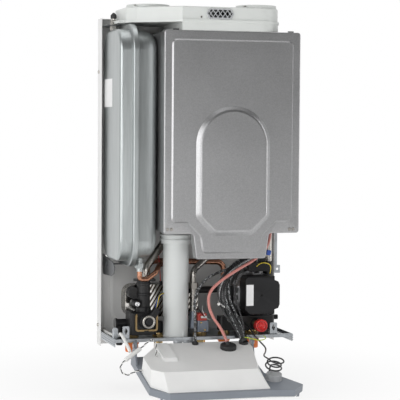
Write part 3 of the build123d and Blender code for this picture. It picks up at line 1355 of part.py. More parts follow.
with BuildPart() as diverter_stem:
    disc(BLOCK_FRONT + STEM_BORE_DEPTH - STEM_TRAVEL - 2, ACTUATOR_X, ACTUATOR_Z, STEM_DIAMETER,
         STEM_BORE_DEPTH - STEM_TRAVEL - 2)
    chamfer(diverter_stem.faces().sort_by(Axis.Y)[-1].edges(), 1)
save(diverter_stem.part, "diverter_stem")

with BuildPart() as valve_actuator:
    disc(BLOCK_FRONT, ACTUATOR_X, ACTUATOR_Z, ACTUATOR_DIAMETER, BLOCK_FRONT - ACTUATOR_FRONT)
    fillet(valve_actuator.faces().sort_by(Axis.Y)[0].edges(), 2)
    disc(ACTUATOR_FRONT, ACTUATOR_X, ACTUATOR_Z, ACTUATOR_DIAMETER - 8, 4)
    disc(BLOCK_FRONT, ACTUATOR_X, ACTUATOR_Z, STEM_DIAMETER + 2, 10, Mode.SUBTRACT)
    # plug, leaning up to the right
    with BuildSketch(front_plane(ACTUATOR_FRONT - 2)):
        lean = radians(90 - PLUG_LEAN)
        with Locations((ACTUATOR_X + 16 * cos(lean), ACTUATOR_Z + 16 * sin(lean))):
            RectangleRounded(15, 44, 3, rotation=-PLUG_LEAN)
    extrude(amount=12)
    fillet(valve_actuator.faces().sort_by(Axis.Y)[0].edges(), 2)
save(valve_actuator.part, "valve_actuator")

with BuildPart() as actuator_clip:
    with BuildSketch(front_plane(BLOCK_FRONT)):
        with Locations((ACTUATOR_X, ACTUATOR_Z - 2)):
            RectangleRounded(CLIP_WIDTH, CLIP_HEIGHT, 6)
            RectangleRounded(CLIP_WIDTH - 2 * CLIP_WIRE, CLIP_HEIGHT - 2 * CLIP_WIRE, 4,
                             mode=Mode.SUBTRACT)
        with Locations((ACTUATOR_X, ACTUATOR_Z + CLIP_HEIGHT / 2)):
            Rectangle(CLIP_WIDTH - 2 * CLIP_WIRE, 14, mode=Mode.SUBTRACT)
        with Locations((ACTUATOR_X, ACTUATOR_Z - 2 - CLIP_HEIGHT / 2)):
            Rectangle(12, CLIP_WIRE, mode=Mode.SUBTRACT)
    extrude(amount=CLIP_DEPTH)
save(actuator_clip.part, "actuator_clip")

# ---------------------------------------------------------------- plate heat exchanger

plate_width = EXCHANGER_PLATE_RIGHT - EXCHANGER_PLATE_LEFT
plate_height_z = EXCHANGER_PLATE_TOP - EXCHANGER_PLATE_BOTTOM
plate_centre = ((EXCHANGER_PLATE_RIGHT + EXCHANGER_PLATE_LEFT) / 2,
                (EXCHANGER_PLATE_TOP + EXCHANGER_PLATE_BOTTOM) / 2)
CHEVRONS = 13
CHEVRON_PITCH = 9.3
CHEVRON_WIDTH = 4.2
CHEVRON_HEIGHT = 2.2
CHEVRON_LEAN = 32
CHEVRON_MARGIN = 9

with BuildPart() as plate_exchanger:
    for plate in range(EXCHANGER_PLATE_COUNT):
        # every plate is a dish whose turned-in rim nests in the next
        plate_y = EXCHANGER_PLATE_FRONT + EXCHANGER_PLATE_PITCH * (plate + 1)
        for inset, depth in ((0, EXCHANGER_PLATE_PITCH * 0.55), (1.2, EXCHANGER_PLATE_PITCH)):
            with BuildSketch(front_plane(plate_y)):
                with Locations(plate_centre):
                    RectangleRounded(
                        plate_width - 2 * inset, plate_height_z - 2 * inset, 22 - inset)
            extrude(amount=depth)
    # herringbone pressed into the front plate
    with BuildSketch(front_plane(EXCHANGER_PLATE_FRONT)):
        for chevron in range(CHEVRONS):
            with Locations((plate_centre[0] - (CHEVRONS - 1) / 2 * CHEVRON_PITCH
                            + chevron * CHEVRON_PITCH + 4, plate_centre[1])):
                Rectangle(CHEVRON_WIDTH, plate_height_z - 2 * CHEVRON_MARGIN,
                          rotation=-CHEVRON_LEAN)
    extrude(amount=CHEVRON_HEIGHT)
    for nozzle_x, nozzle_z in NOZZLES + ((NOZZLE_RIGHT_X, 108),):
        disc(EXCHANGER_PLATE_FRONT, nozzle_x, nozzle_z, 24, CHEVRON_HEIGHT + 1, Mode.SUBTRACT)
save(plate_exchanger.part, "plate_exchanger")

# ---------------------------------------------------------------- gas valve

GAS_BLOCK = (28, 56, 28)
GAS_COIL = (23, 30, 17)
GAS_COIL_ASIDE = -2.5

with BuildPart() as gas_valve:
    with BuildSketch(Plane.XY.offset(BLOCK_BOTTOM)):
        with Locations((GAS_X, GAS_Y + 2)):
            RectangleRounded(GAS_BLOCK[0], GAS_BLOCK[1], 3)
    extrude(amount=GAS_BLOCK[2])
    fillet(gas_valve.edges().filter_by(Axis.X), 1.5)
    # outlet at the left side, turning up to its pipe
    with BuildSketch(Plane.XY.offset(22)):
        with Locations((GAS_OUTLET)):
            RectangleRounded(16, 18, 4)
    extrude(amount=18)
    with BuildSketch(Plane.XY.offset(22)):
        with Locations((GAS_OUTLET)):
            Circle(8)
    extrude(amount=GAS_PIPE_BOTTOM - 22)
    # adjusting screw and cover bosses in front
    disc(GAS_Y - 26, GAS_X - 5, 30, 8, 3)
    disc(GAS_Y - 26, GAS_X + 9, 18, 5, 2)
save(gas_valve.part, "gas_valve")

with BuildPart() as gas_valve_coil:
    with BuildSketch(Plane.XY.offset(BLOCK_BOTTOM + GAS_BLOCK[2])):
        with Locations((GAS_X + GAS_COIL_ASIDE, GAS_Y - 11)):
            RectangleRounded(GAS_COIL[0], GAS_COIL[1], 2.5)
    extrude(amount=GAS_COIL[2])
    fillet(gas_valve_coil.faces().sort_by(Axis.Z)[-1].edges(), 1.5)
    with BuildSketch(front_plane(GAS_Y - 26)):
        with Locations((GAS_X, BLOCK_BOTTOM + GAS_BLOCK[2] + 8)):
            Rectangle(14, 9)
    extrude(amount=3)
save(gas_valve_coil.part, "gas_valve_coil")
# ---------------------------------------------------------------- fixed pipes

COPPER_DIAMETER = 14
UNION_NUT = 26

with BuildPart() as gas_pipe:
    add(bent_pipe(
        [(*GAS_OUTLET, GAS_PIPE_BOTTOM), (*GAS_OUTLET, 158),
         (GAS_PIPE[0], GAS_PIPE[1], 192), (GAS_PIPE[0], GAS_PIPE[1], 270)],
        GAS_PIPE_DIAMETER, bend=22))
    with BuildSketch(Plane.XY.offset(116)):
        with Locations(GAS_OUTLET):
            RegularPolygon(UNION_NUT / 2, 6)
    extrude(amount=14)
    # thinner end that turns forward and up into the fan's mixing tube
    add(bent_pipe(
        [(GAS_PIPE[0], GAS_PIPE[1], 262), (GAS_PIPE[0], GAS_PIPE[1], 296),
         (EXCHANGER_X, FAN_FRONT - 9, 296), (EXCHANGER_X, FAN_FRONT - 9, GAS_SOCKET_BOTTOM)],
        GAS_PIPE_DIAMETER - 3, bend=20))
save(gas_pipe.part, "gas_pipe")

with BuildPart() as steel_pipes:
    add(bent_pipe(
        [(*FLOW_OUTLET, FLANGE_TOP), (*FLOW_OUTLET, 168), (*FLOW_PIPE, 226),
         (*FLOW_PIPE, FLOW_BOSS[1]), (FLOW_BOSS[0], FLOW_PIPE[1], FLOW_BOSS[1])],
        STEEL_PIPE_DIAMETER, bend=18))
    add(bent_pipe(
        [(*RETURN_PIPE, 172), (*RETURN_PIPE, RETURN_BOSS[1]),
         (RETURN_BOSS[0], RETURN_PIPE[1], RETURN_BOSS[1])],
        STEEL_PIPE_DIAMETER, bend=25))
save(steel_pipes.part, "steel_pipes")

with BuildPart() as copper_pipes:
    # from the vessel union, behind the siphon, into the manifold arm
    add(bent_pipe(
        [(*UNION_PLACE, UNION_BOTTOM), (*UNION_PLACE, 143), (-134, -150, 143),
         (-112, -148, 158), (-92, -110, 174), (VESSEL_SOCKET_X, ARM_Y, 174),
         (VESSEL_SOCKET_X, ARM_Y, VESSEL_SOCKET_TOP)],
        COPPER_DIAMETER - 2, bend=8.5))
    # cross pipe along the back
    add(bent_pipe(
        [(-110, -60, EXCHANGER_PLATE_TOP), (-110, -60, 178), (ARM_RIGHT, -60, 172),
         (ARM_RIGHT, -60, ARM_Z), (ARM_RIGHT, CROSS_SOCKET_BACK, ARM_Z)],
        COPPER_DIAMETER, bend=20))
save(copper_pipes.part, "copper_pipes")

# ---------------------------------------------------------------- pipe tails and their caps

with BuildPart() as pipe_tails:
    for name, (tail_x, thread) in TAILS.items():
        with BuildSketch(Plane.XY.offset(TAIL_BOTTOM)):
            with Locations((tail_x, TAIL_Y)):
                Circle(thread / 2)
                Circle(thread / 2 - 3, mode=Mode.SUBTRACT)
        extrude(amount=BLOCK_BOTTOM - TAIL_BOTTOM)
        with BuildSketch(Plane.XY.offset(SHEET)):
            with Locations((tail_x, TAIL_Y)):
                RegularPolygon(thread / 2 + 4, 6)
                Circle(thread / 2 - 1, mode=Mode.SUBTRACT)
        extrude(amount=7)
    chamfer(pipe_tails.edges().filter_by(GeomType.CIRCLE).group_by(Axis.Z)[0]
            .sort_by(SortBy.RADIUS)[-5:], 1)
save(pipe_tails.part, "pipe_tails")

CAPPED_TAILS = ("flow", "cold_water", "return")
CAP_TOP = -10
with BuildPart() as tail_caps:
    for name in CAPPED_TAILS:
        tail_x, thread = TAILS[name]
        with BuildSketch(Plane(origin=(tail_x, TAIL_Y, 0), x_dir=(1, 0, 0), z_dir=(0, -1, 0))):
            with BuildLine():
                inner = thread / 2 + 0.3
                Polyline(
                    (0, TAIL_BOTTOM - CAP_WALL), (inner + CAP_WALL - 1, TAIL_BOTTOM - CAP_WALL),
                    (inner + CAP_WALL, TAIL_BOTTOM), (inner + CAP_WALL, CAP_TOP - 3),
                    (inner + CAP_WALL + 2, CAP_TOP - 3), (inner + CAP_WALL + 2, CAP_TOP),
                    (inner, CAP_TOP), (inner, TAIL_BOTTOM), (0, TAIL_BOTTOM), close=True)
            make_face()
        revolve(axis=Axis((tail_x, TAIL_Y, 0), (0, 0, 1)))
save(tail_caps.part, "tail_caps")

# ---------------------------------------------------------------- drain elbow and hose

HOSE_DIAMETER = 17
HOSE_BORE = 11
HOSE_RIBS = 9
HOSE_TOP = 24
HOSE_BOTTOM = -16

with BuildPart() as drain_elbow:
    with BuildSketch(side_plane(BLOCK_LEFT - 4)):
        with Locations((HOSE_Y, DRAIN_Z)):
            Circle(DRAIN_DIAMETER / 2)
    extrude(amount=HOSE_X - 6 - BLOCK_LEFT + 4)
    with BuildSketch(side_plane(HOSE_X - 6)):
        with Locations((HOSE_Y, DRAIN_Z)):
            Circle(DRAIN_DIAMETER / 2 + 2)
    extrude(amount=-5)
    with BuildSketch(Plane.XY.offset(HOSE_TOP)):
        with Locations((HOSE_X, HOSE_Y)):
            Circle(HOSE_DIAMETER / 2 - 1)
    extrude(amount=DRAIN_Z - HOSE_TOP)
    with BuildSketch(Plane(origin=(HOSE_X, HOSE_Y, 0), x_dir=(1, 0, 0), z_dir=(0, -1, 0))):
        with BuildLine():
            pitch = (HOSE_TOP - HOSE_BOTTOM) / HOSE_RIBS
            crest = HOSE_DIAMETER / 2
            profile = [(HOSE_BORE / 2, HOSE_TOP), (crest - 1.6, HOSE_TOP)]
            for rib in range(HOSE_RIBS):
                z = HOSE_TOP - rib * pitch
                profile += [(crest, z - 0.1 * pitch), (crest, z - 0.5 * pitch),
                            (crest - 1.6, z - 0.6 * pitch), (crest - 1.6, z - pitch)]
            profile += [(HOSE_BORE / 2, HOSE_BOTTOM)]
            Polyline(*profile, close=True)
        make_face()
    revolve(axis=Axis((HOSE_X, HOSE_Y, 0), (0, 0, 1)))
save(drain_elbow.part, "drain_elbow")
# ---------------------------------------------------------------- control panel

COVER_TOP = ((103, -6), (103, 34), (76, 160), (-145, 160), (-170, 141), (-170, 69), (-116, -6))
COVER_FOOT = (
    (106, -8), (106, 36), (100, 188), (-138, 188), (-171, 152), (-171, 66), (-118, -8))
FRAME_OUTLINE = (
    (-175, -22), (-175, 159), (-137, FRAME_FRONT), (103, FRAME_FRONT), (155, 201), (184, 173),
    (146, 121), (114, 100), (114, -22))
RIDGE = (-128, -97, 105)  # left side, right side, length
RIDGE_HEIGHT = 6
HARNESS_ENTRY = (HARNESS_ENTRY_X, 10)
SIDE_CABLE_ENTRY = (-29, 4)
MAIN_ENTRY_BORE = 30
SMALL_ENTRY_BORE = 12
GAUGE_FLANGE = 40
GAUGE_STUB = (113, 135)
GAUGE_STUB_HEIGHT = 6
DIAL_DEPTH = 8
NEEDLE_SHAFT = 2
WINDOW = (20, 95, 70, 26)  # across, along, width, depth of the display window
BUTTONS = {"button_plus": -60, "button_minus": -84, "button_mode": 88}
BUTTON_ALONG = 95
BOARD = (-15, 88, 150, 104)
BOARD_HEIGHT = -40
BOARD_THICKNESS = 1.6
SWITCH_HEIGHT = 4
EAR_RADIUS = 8
CLIP_TEETH = ((-150, 176), (168, 182))
face_back = FRAME_UNDERSIDE
face_front = FRAME_UNDERSIDE - FACE_THICKNESS
floor_top = FRAME_UNDERSIDE + FRAME_WALL


def panel_shape(points, grow=0.0, corner=0.0):
    """A closed outline on the panel, from places across and along it."""
    with BuildSketch() as shape:
        with BuildLine():
            Polyline(*[(x, -along) for x, along in points], close=True)
        make_face()
        if corner:
            fillet(shape.vertices(), corner)
        if grow:
            offset(amount=grow, kind=Kind.INTERSECTION)
    return shape.sketch


def cover_body(shrink, top, foot):
    """The tapered body of the cover between two heights, drawn in by a margin all round."""
    with BuildPart() as body:
        for outline, height in ((COVER_TOP, top), (COVER_FOOT, foot)):
            with BuildSketch(panel_plane(height)):
                add(panel_shape(outline, -shrink, corner=3))
        loft()
    return body.part


def panel_disc(x, along, height, diameter, depth, mode=Mode.ADD):
    """A round boss on the panel, upwards from a height, or downwards if depth is negative."""
    side = Align.MIN if depth > 0 else Align.MAX
    with Locations(Plane(origin=on_panel(x, along, height), z_dir=PANEL_UP).location):
        Cylinder(diameter / 2, abs(depth), align=(Align.CENTER, Align.CENTER, side), mode=mode)


def panel_block(x, along, height, size, mode=Mode.ADD):
    """A block that stands on a height of the panel: across, along and up from it."""
    place = Plane(origin=on_panel(x, along, height), x_dir=(1, 0, 0), z_dir=PANEL_UP)
    with Locations(place.location):
        Box(*size, align=(Align.CENTER, Align.CENTER, Align.MIN), mode=mode)


def boot(place, height, towards, diameter, length):
    """The boot of a cord: its foot, its direction towards the cord, and its two sizes."""
    foot = on_panel(*place, height)
    return foot, (Vector(*towards) - foot).normalized(), diameter, length


LEAD_LAST = (33, -TRAY_DEPTH - 30, 26)
HARNESS_LAST = (80, -TRAY_DEPTH - 17, 18)
SIDE_CABLE_LAST = (-29, -TRAY_DEPTH - 14, 24)
BOOTS = (
    boot((GROMMET_X, GROMMET_ALONG), 6, LEAD_LAST, IGNITION_LEAD_DIAMETER + 4, 10),
    boot(HARNESS_ENTRY, 5.7, HARNESS_LAST, 20, 7),
    boot(SIDE_CABLE_ENTRY, 2.4, SIDE_CABLE_LAST, SIDE_CABLE_DIAMETER + 3, 6))
lead_end, harness_end, side_cable_end = [foot + way * length for foot, way, _, length in BOOTS]

with BuildPart() as panel_cover:
    add(cover_body(0, 0, FRAME_RIM))
    # ridge with a sloping front end
    with BuildSketch(panel_side(RIDGE[1])):
        with BuildLine():
            Polyline(
                (0, -COVER_WALL), (4, RIDGE_HEIGHT), (RIDGE[2] - 12, RIDGE_HEIGHT),
                (RIDGE[2], -COVER_WALL), close=True)
        make_face()
    extrude(amount=RIDGE[1] - RIDGE[0])
    add(cover_body(COVER_WALL, -COVER_WALL, FRAME_RIM), mode=Mode.SUBTRACT)
    for entry, bore in (((GROMMET_X, GROMMET_ALONG), MAIN_ENTRY_BORE),
                        (HARNESS_ENTRY, SMALL_ENTRY_BORE), (SIDE_CABLE_ENTRY, SMALL_ENTRY_BORE)):
        panel_disc(*entry, 0, bore, -COVER_WALL, Mode.SUBTRACT)
save(panel_cover.part, "panel_cover")

with BuildPart() as panel_frame:
    with BuildSketch(panel_plane(FRAME_UNDERSIDE)):
        add(panel_shape(FRAME_OUTLINE, corner=3))
    extrude(amount=FRAME_RIM - FRAME_UNDERSIDE)
    with BuildSketch(panel_plane(floor_top)):
        add(panel_shape(FRAME_OUTLINE, -FRAME_WALL))
    extrude(amount=FRAME_RIM - FRAME_WALL - floor_top, mode=Mode.SUBTRACT)
    with BuildSketch(panel_plane(floor_top)):
        add(panel_shape(COVER_FOOT, -COVER_WALL - 1.5))
    extrude(amount=FRAME_RIM - floor_top, mode=Mode.SUBTRACT)
    # ears with the eyes of the hinge
    for ear_x in (LEFT_EAR_X + EAR_THICKNESS, RIGHT_EAR_X + EAR_THICKNESS):
        with BuildSketch(panel_side(ear_x)):
            with BuildLine():
                Polyline(
                    (-20, FRAME_RIM - FRAME_WALL), (-EAR_RADIUS, 0), (EAR_RADIUS, 0),
                    (30, FRAME_RIM - FRAME_WALL), close=True)
            make_face()
            Circle(EAR_RADIUS)
        extrude(amount=EAR_THICKNESS)
        with BuildSketch(panel_side(ear_x)):
            Circle(HINGE_PIN / 2 + RUNNING_FIT)
        extrude(amount=EAR_THICKNESS, mode=Mode.SUBTRACT)
    # posts of the circuit board
    for side_x in (-1, 1):
        for side_along in (-1, 1):
            panel_disc(BOARD[0] + side_x * (BOARD[2] / 2 - 7),
                       BOARD[1] + side_along * (BOARD[3] / 2 - 7),
                       floor_top, 7, BOARD_HEIGHT - floor_top)
    # snap teeth below the front corners
    for tooth_x, tooth_along in CLIP_TEETH:
        with BuildSketch(panel_side(tooth_x + 3)):
            with BuildLine():
                Polyline((tooth_along - 7, FRAME_UNDERSIDE + 1), (tooth_along + 5, FRAME_UNDERSIDE + 1),
                         (tooth_along + 5, FRAME_UNDERSIDE - 7), (tooth_along + 1, FRAME_UNDERSIDE - 9),
                         close=True)
            make_face()
        extrude(amount=6)
    # openings for the gauge, the window and the buttons
    panel_disc(GAUGE_X, GAUGE_ALONG, FRAME_UNDERSIDE, GAUGE_DIAMETER + 0.4, 30, Mode.SUBTRACT)
    panel_block(WINDOW[0], WINDOW[1], FRAME_UNDERSIDE, (WINDOW[2], WINDOW[3], FRAME_WALL),
                Mode.SUBTRACT)
    for button_x in BUTTONS.values():
        panel_disc(button_x, BUTTON_ALONG, FRAME_UNDERSIDE, BUTTON_DIAMETER + 6, FRAME_WALL,
                   Mode.SUBTRACT)
save(panel_frame.part, "panel_frame")

with BuildPart() as panel_face:
    with BuildSketch(panel_plane(face_front)):
        add(panel_shape(FRAME_OUTLINE, -2, corner=4))
    extrude(amount=FACE_THICKNESS)
    with BuildSketch(panel_plane(face_front)):
        with Locations((30, -(FRAME_FRONT - 22 - 60))):
            RectangleRounded(150, 120, 20)
    extrude(amount=-FACE_BULGE + FACE_THICKNESS, taper=20)
    for tooth_x, tooth_along in CLIP_TEETH:
        panel_block(tooth_x, tooth_along - 1, face_front, (7, 14, FACE_THICKNESS), Mode.SUBTRACT)
    panel_disc(GAUGE_X, GAUGE_ALONG, face_front, GAUGE_DIAMETER + 0.4, FACE_THICKNESS, Mode.SUBTRACT)
    panel_block(WINDOW[0], WINDOW[1], face_front - FACE_BULGE,
                (WINDOW[2], WINDOW[3], FACE_BULGE + FACE_THICKNESS), Mode.SUBTRACT)
    for button_x in BUTTONS.values():
        panel_disc(button_x, BUTTON_ALONG, face_front - FACE_BULGE,
                   BUTTON_DIAMETER + 2 * BUTTON_CLEARANCE, FACE_BULGE + FACE_THICKNESS, Mode.SUBTRACT)
save(panel_face.part, "panel_face")

with BuildPart() as clear_windows:
    panel_block(WINDOW[0], WINDOW[1], face_front - FACE_BULGE + FACE_THICKNESS + 0.5,
                (WINDOW[2], WINDOW[3], 1.5))
    panel_disc(GAUGE_X, GAUGE_ALONG, face_front, GAUGE_DIAMETER - 5, 1.5)
save(clear_windows.part, "clear_windows")

with BuildPart() as pressure_gauge:
    panel_disc(GAUGE_X, GAUGE_ALONG, face_front, GAUGE_DIAMETER, GAUGE_TOP - face_front)
    fillet(pressure_gauge.faces().sort_by(PANEL_RISE)[-1].edges(), 2)
    panel_disc(GAUGE_X, GAUGE_ALONG, FRAME_RIM, GAUGE_FLANGE, 2)
    panel_disc(*GAUGE_STUB, GAUGE_TOP, 6, GAUGE_STUB_HEIGHT)
    panel_disc(GAUGE_X, GAUGE_ALONG, face_front, GAUGE_DIAMETER - 5, DIAL_DEPTH, Mode.SUBTRACT)
    panel_disc(GAUGE_X, GAUGE_ALONG, face_front, NEEDLE_SHAFT + 2 * RUNNING_FIT, DIAL_DEPTH + 5,
               Mode.SUBTRACT)
save(pressure_gauge.part, "pressure_gauge")

with BuildPart() as gauge_needle:
    needle_height = face_front + 4
    panel_disc(GAUGE_X, GAUGE_ALONG, needle_height, 6, 2)
    panel_disc(GAUGE_X, GAUGE_ALONG, needle_height, NEEDLE_SHAFT, DIAL_DEPTH)
    panel_block(GAUGE_X - 5.5, GAUGE_ALONG, needle_height + 0.5, (15, 1.6, 1))
save(gauge_needle.part, "gauge_needle")

for name, button_x in BUTTONS.items():
    with BuildPart() as button:
        panel_disc(button_x, BUTTON_ALONG, face_front - FACE_BULGE, BUTTON_DIAMETER,
                   FACE_BULGE + FACE_THICKNESS)
        fillet(button.faces().sort_by(PANEL_RISE)[0].edges(), 1)
        panel_disc(button_x, BUTTON_ALONG, face_back, BUTTON_DIAMETER + 3, 1.5)
        panel_disc(button_x, BUTTON_ALONG, face_back, 4,
                   BOARD_HEIGHT - SWITCH_HEIGHT - BUTTON_TRAVEL - 0.1 - face_back)
    save(button.part, name)

with BuildPart() as circuit_board:
    panel_block(BOARD[0], BOARD[1], BOARD_HEIGHT, (BOARD[2], BOARD[3], BOARD_THICKNESS))
    panel_block(77, BUTTON_ALONG, BOARD_HEIGHT, (40, 30, BOARD_THICKNESS))
    for button_x in BUTTONS.values():
        panel_block(button_x, BUTTON_ALONG, BOARD_HEIGHT - SWITCH_HEIGHT, (7, 7, SWITCH_HEIGHT))
    # display below, transformer, relays, capacitors and plug rows above
    panel_block(WINDOW[0], WINDOW[1], BOARD_HEIGHT - 9, (WINDOW[2] - 4, WINDOW[3] - 4, 9))
    board_top = BOARD_HEIGHT + BOARD_THICKNESS
    panel_block(-62, 70, board_top, (38, 32, 28))
    for relay in range(3):
        panel_block(-20 + 20 * relay, 122, board_top, (15, 24, 16))
    for plug in range(4):
        panel_block(-28 + 24 * plug, 46, board_top, (20, 10, 12))
    for can in range(2):
        panel_disc(38, 76 + 16 * can, board_top, 13, 24)
save(circuit_board.part, "circuit_board")

with BuildPart() as cable_grommet:
    panel_disc(GROMMET_X, GROMMET_ALONG, 0, GROMMET_DIAMETER, 10)
    fillet(cable_grommet.faces().sort_by(PANEL_RISE)[-1].edges(), 3)
    panel_disc(GROMMET_X, GROMMET_ALONG, -7, MAIN_ENTRY_BORE, 7)
    panel_disc(*HARNESS_ENTRY, 0, SMALL_ENTRY_BORE + 10, 6)
    panel_disc(*HARNESS_ENTRY, -6, SMALL_ENTRY_BORE, 6)
    panel_disc(*SIDE_CABLE_ENTRY, 0, SMALL_ENTRY_BORE + 3, 4)
    panel_disc(*SIDE_CABLE_ENTRY, -5, SMALL_ENTRY_BORE, 5)
    # boots that lean towards their cords
    for foot, way, boot_diameter, boot_length in BOOTS:
        with Locations(Plane(origin=foot, z_dir=way).location):
            Cylinder(boot_diameter / 2, boot_length, align=(Align.CENTER, Align.CENTER, Align.MIN))
save(cable_grommet.part, "cable_grommet")
# ---------------------------------------------------------------- cords

HARNESS_STRANDS = ((-3.7, -3.7), (3.7, -3.7), (-3.7, 3.7), (3.7, 3.7))  # beside and behind
HARNESS_STRAND_DIAMETER = 6.4
COIL_TURNS = 3
COIL_RADIUS = 18
COIL_PITCH = 9.5
COIL_LEAN = 22


def beside(points, offset_across, offset_back):
    """A route that keeps a distance from another one, across in front view and in depth."""
    moved = []
    for k, (x, y, z) in enumerate(points):
        before = points[max(k - 1, 0)]
        after = points[min(k + 1, len(points) - 1)]
        way_in = Vector(x - before[0], 0, z - before[2])
        way_out = Vector(after[0] - x, 0, after[2] - z)
        if way_in.length == 0:
            way_in = way_out
        if way_out.length == 0:
            way_out = way_in
        bisector = way_in.normalized() + way_out.normalized()
        across = Vector(bisector.Z, 0, -bisector.X).normalized()
        stretch = 1 / cos(radians(way_in.get_angle(way_out)) / 2)
        moved.append((x + across.X * offset_across * stretch, y + offset_back,
                      z + across.Z * offset_across * stretch))
    return moved


harness_route = [
    (150, -150, box_bottom), (150, -150, 222), (132, -152, 198), (92, -164, 182),
    (58, -176, 160), (38, -186, 126), (42, -190, 88), (62, -TRAY_DEPTH - 13, 48), HARNESS_LAST,
    tuple(harness_end)]
harness_way = BOOTS[1][1]
harness_across = Vector(-harness_way.Z, 0, harness_way.X).normalized()
harness_back = harness_across.cross(harness_way)
with BuildPart() as wire_harness:
    for across, back in HARNESS_STRANDS:
        route = beside(harness_route, across, back)
        aside = harness_across * across + harness_back * back
        route[-2:] = [tuple(Vector(*HARNESS_LAST) + aside), tuple(harness_end + aside)]
        add(free_cord("harness strand", route, HARNESS_STRAND_DIAMETER))
    add(free_cord("side cable", [
        (AIR_VENT_LEFT, -112, 164), (100, -112, 164), (60, -142, 160), (20, -168, 152),
        (-14, -184, 132), (-30, -190, 96), (-28, -TRAY_DEPTH - 10, 60), SIDE_CABLE_LAST,
        tuple(side_cable_end)], SIDE_CABLE_DIAMETER))
save(wire_harness.part, "wire_harness")

with BuildPart() as ignition_lead:
    add(free_cord("ignition lead", [
        (ELECTRODE[0], LEAD_BOOT_Y, LEAD_BOOT_BOTTOM), (ELECTRODE[0], LEAD_BOOT_Y, 476),
        (138, -186, 450), (164, -168, 412), (172, -152, 362), (171, -150, 300),
        (172, -150, 246), (157, -164, 210), (121, -180, 186), (83, -189, 169), (35, -194, 142),
        (4, -197, 115), (1, -201, 84), (12, -TRAY_DEPTH - 24, 54), LEAD_LAST, tuple(lead_end)],
        IGNITION_LEAD_DIAMETER))
save(ignition_lead.part, "ignition_lead")

LEFT_PAIR_ENTRY = (-170.9, 80, -28)
RIGHT_PAIR_ENTRY = (-140, 70, 0)
SLEEVE_DIAMETER = 10
SLEEVE_ENTRY = 9
LEAD_REST = SHEET + 4.9
sleeve_right = Vector(-166, -TRAY_DEPTH - 33, -10)
sleeve_left = Vector(-203, -TRAY_DEPTH - 43, -34)
lead_crest = Vector(-204, -TRAY_DEPTH - 6, 27)
sleeve_middle = sleeve_right * 0.42 + sleeve_left * 0.58
entry_way = (lead_crest - sleeve_middle).normalized()

with BuildPart() as lead_connector:
    with BuildSketch(Plane(origin=sleeve_right, z_dir=sleeve_left - sleeve_right)):
        Circle(SLEEVE_DIAMETER / 2)
    extrude(amount=(sleeve_left - sleeve_right).length)
    fillet(lead_connector.edges().filter_by(GeomType.CIRCLE), 1.5)
    with BuildSketch(Plane(origin=sleeve_middle, z_dir=entry_way)):
        Circle(SLEEVE_DIAMETER / 2 - 0.2)
    extrude(amount=SLEEVE_ENTRY)
save(lead_connector.part, "lead_connector")

with BuildPart() as thermostat_lead:
    sleeve_way = (sleeve_right - sleeve_left).normalized()
    left_end = on_panel(*LEFT_PAIR_ENTRY)
    right_end = on_panel(*RIGHT_PAIR_ENTRY)
    add(free_cord("thermostat lead", [
        (-206, -2 * SHEET, LEAD_REST + 2.6), (-207.5, -46, LEAD_REST),
        (-204.4, -95, LEAD_REST), (DOME_TAB[0] + 12, -TRAY_DEPTH + 43, LEAD_REST + 0.4),
        tuple(lead_crest), tuple(sleeve_middle + entry_way * SLEEVE_ENTRY)], WHITE_LEAD_DIAMETER))
    add(free_cord("left pair", [
        tuple(sleeve_left), tuple(sleeve_left - sleeve_way * 14),
        (-219, -TRAY_DEPTH - 58, -56), (-206, -TRAY_DEPTH - 72, -66),
        tuple(left_end - Vector(18, 0, 0)), tuple(left_end)],
        PIGTAIL_DIAMETER))
    add(free_cord("right pair", [
        tuple(sleeve_right), tuple(sleeve_right + sleeve_way * 15), (-144, -TRAY_DEPTH - 40, 12),
        tuple(right_end + Vector(0, 12, 36)), tuple(right_end + PANEL_UP * 22),
        tuple(right_end)], PIGTAIL_DIAMETER))
save(thermostat_lead.part, "thermostat_lead")

# ---------------------------------------------------------------- gauge capillary


def biarc(start, start_way, end, end_way):
    """Two arcs that leave one point and reach another along given directions."""
    span = end - start
    both = start_way + end_way
    turn = 2 * (1 - start_way.dot(end_way))
    ahead = span.dot(both)
    reach = (-ahead + (ahead ** 2 + turn * span.dot(span)) ** 0.5) / turn
    joint = (start + start_way * reach + end - end_way * reach) / 2
    middle_way = (end - end_way * reach - start - start_way * reach).normalized()
    return (Edge.make_tangent_arc(start, start_way, joint),
            Edge.make_tangent_arc(joint, middle_way, end))


coil_axis = Vector(0, -sin(radians(COIL_LEAN)), cos(radians(COIL_LEAN)))
coil_side = Vector(1, 0, 0)
coil_back = coil_axis.cross(coil_side)
gauge_stub = on_panel(*GAUGE_STUB, GAUGE_TOP + GAUGE_STUB_HEIGHT)
coil_foot = on_panel(GAUGE_X - 2, GAUGE_ALONG, GAUGE_TOP + 9)


def coil_node(quarter):
    """Point and direction of the winding after a number of quarter turns, from its top."""
    angle = radians(180 + 90 * quarter)
    height = COIL_PITCH * (COIL_TURNS - quarter / 4)
    drift = 3 * sin(angle / 3)
    place = (coil_foot + coil_axis * height + coil_side * (COIL_RADIUS * cos(angle) + drift)
             + coil_back * COIL_RADIUS * sin(angle))
    way = (coil_side * (-sin(angle) * COIL_RADIUS) + coil_back * (cos(angle) * COIL_RADIUS)
           - coil_axis * (COIL_PITCH / (2 * radians(180))))
    return place, way.normalized()


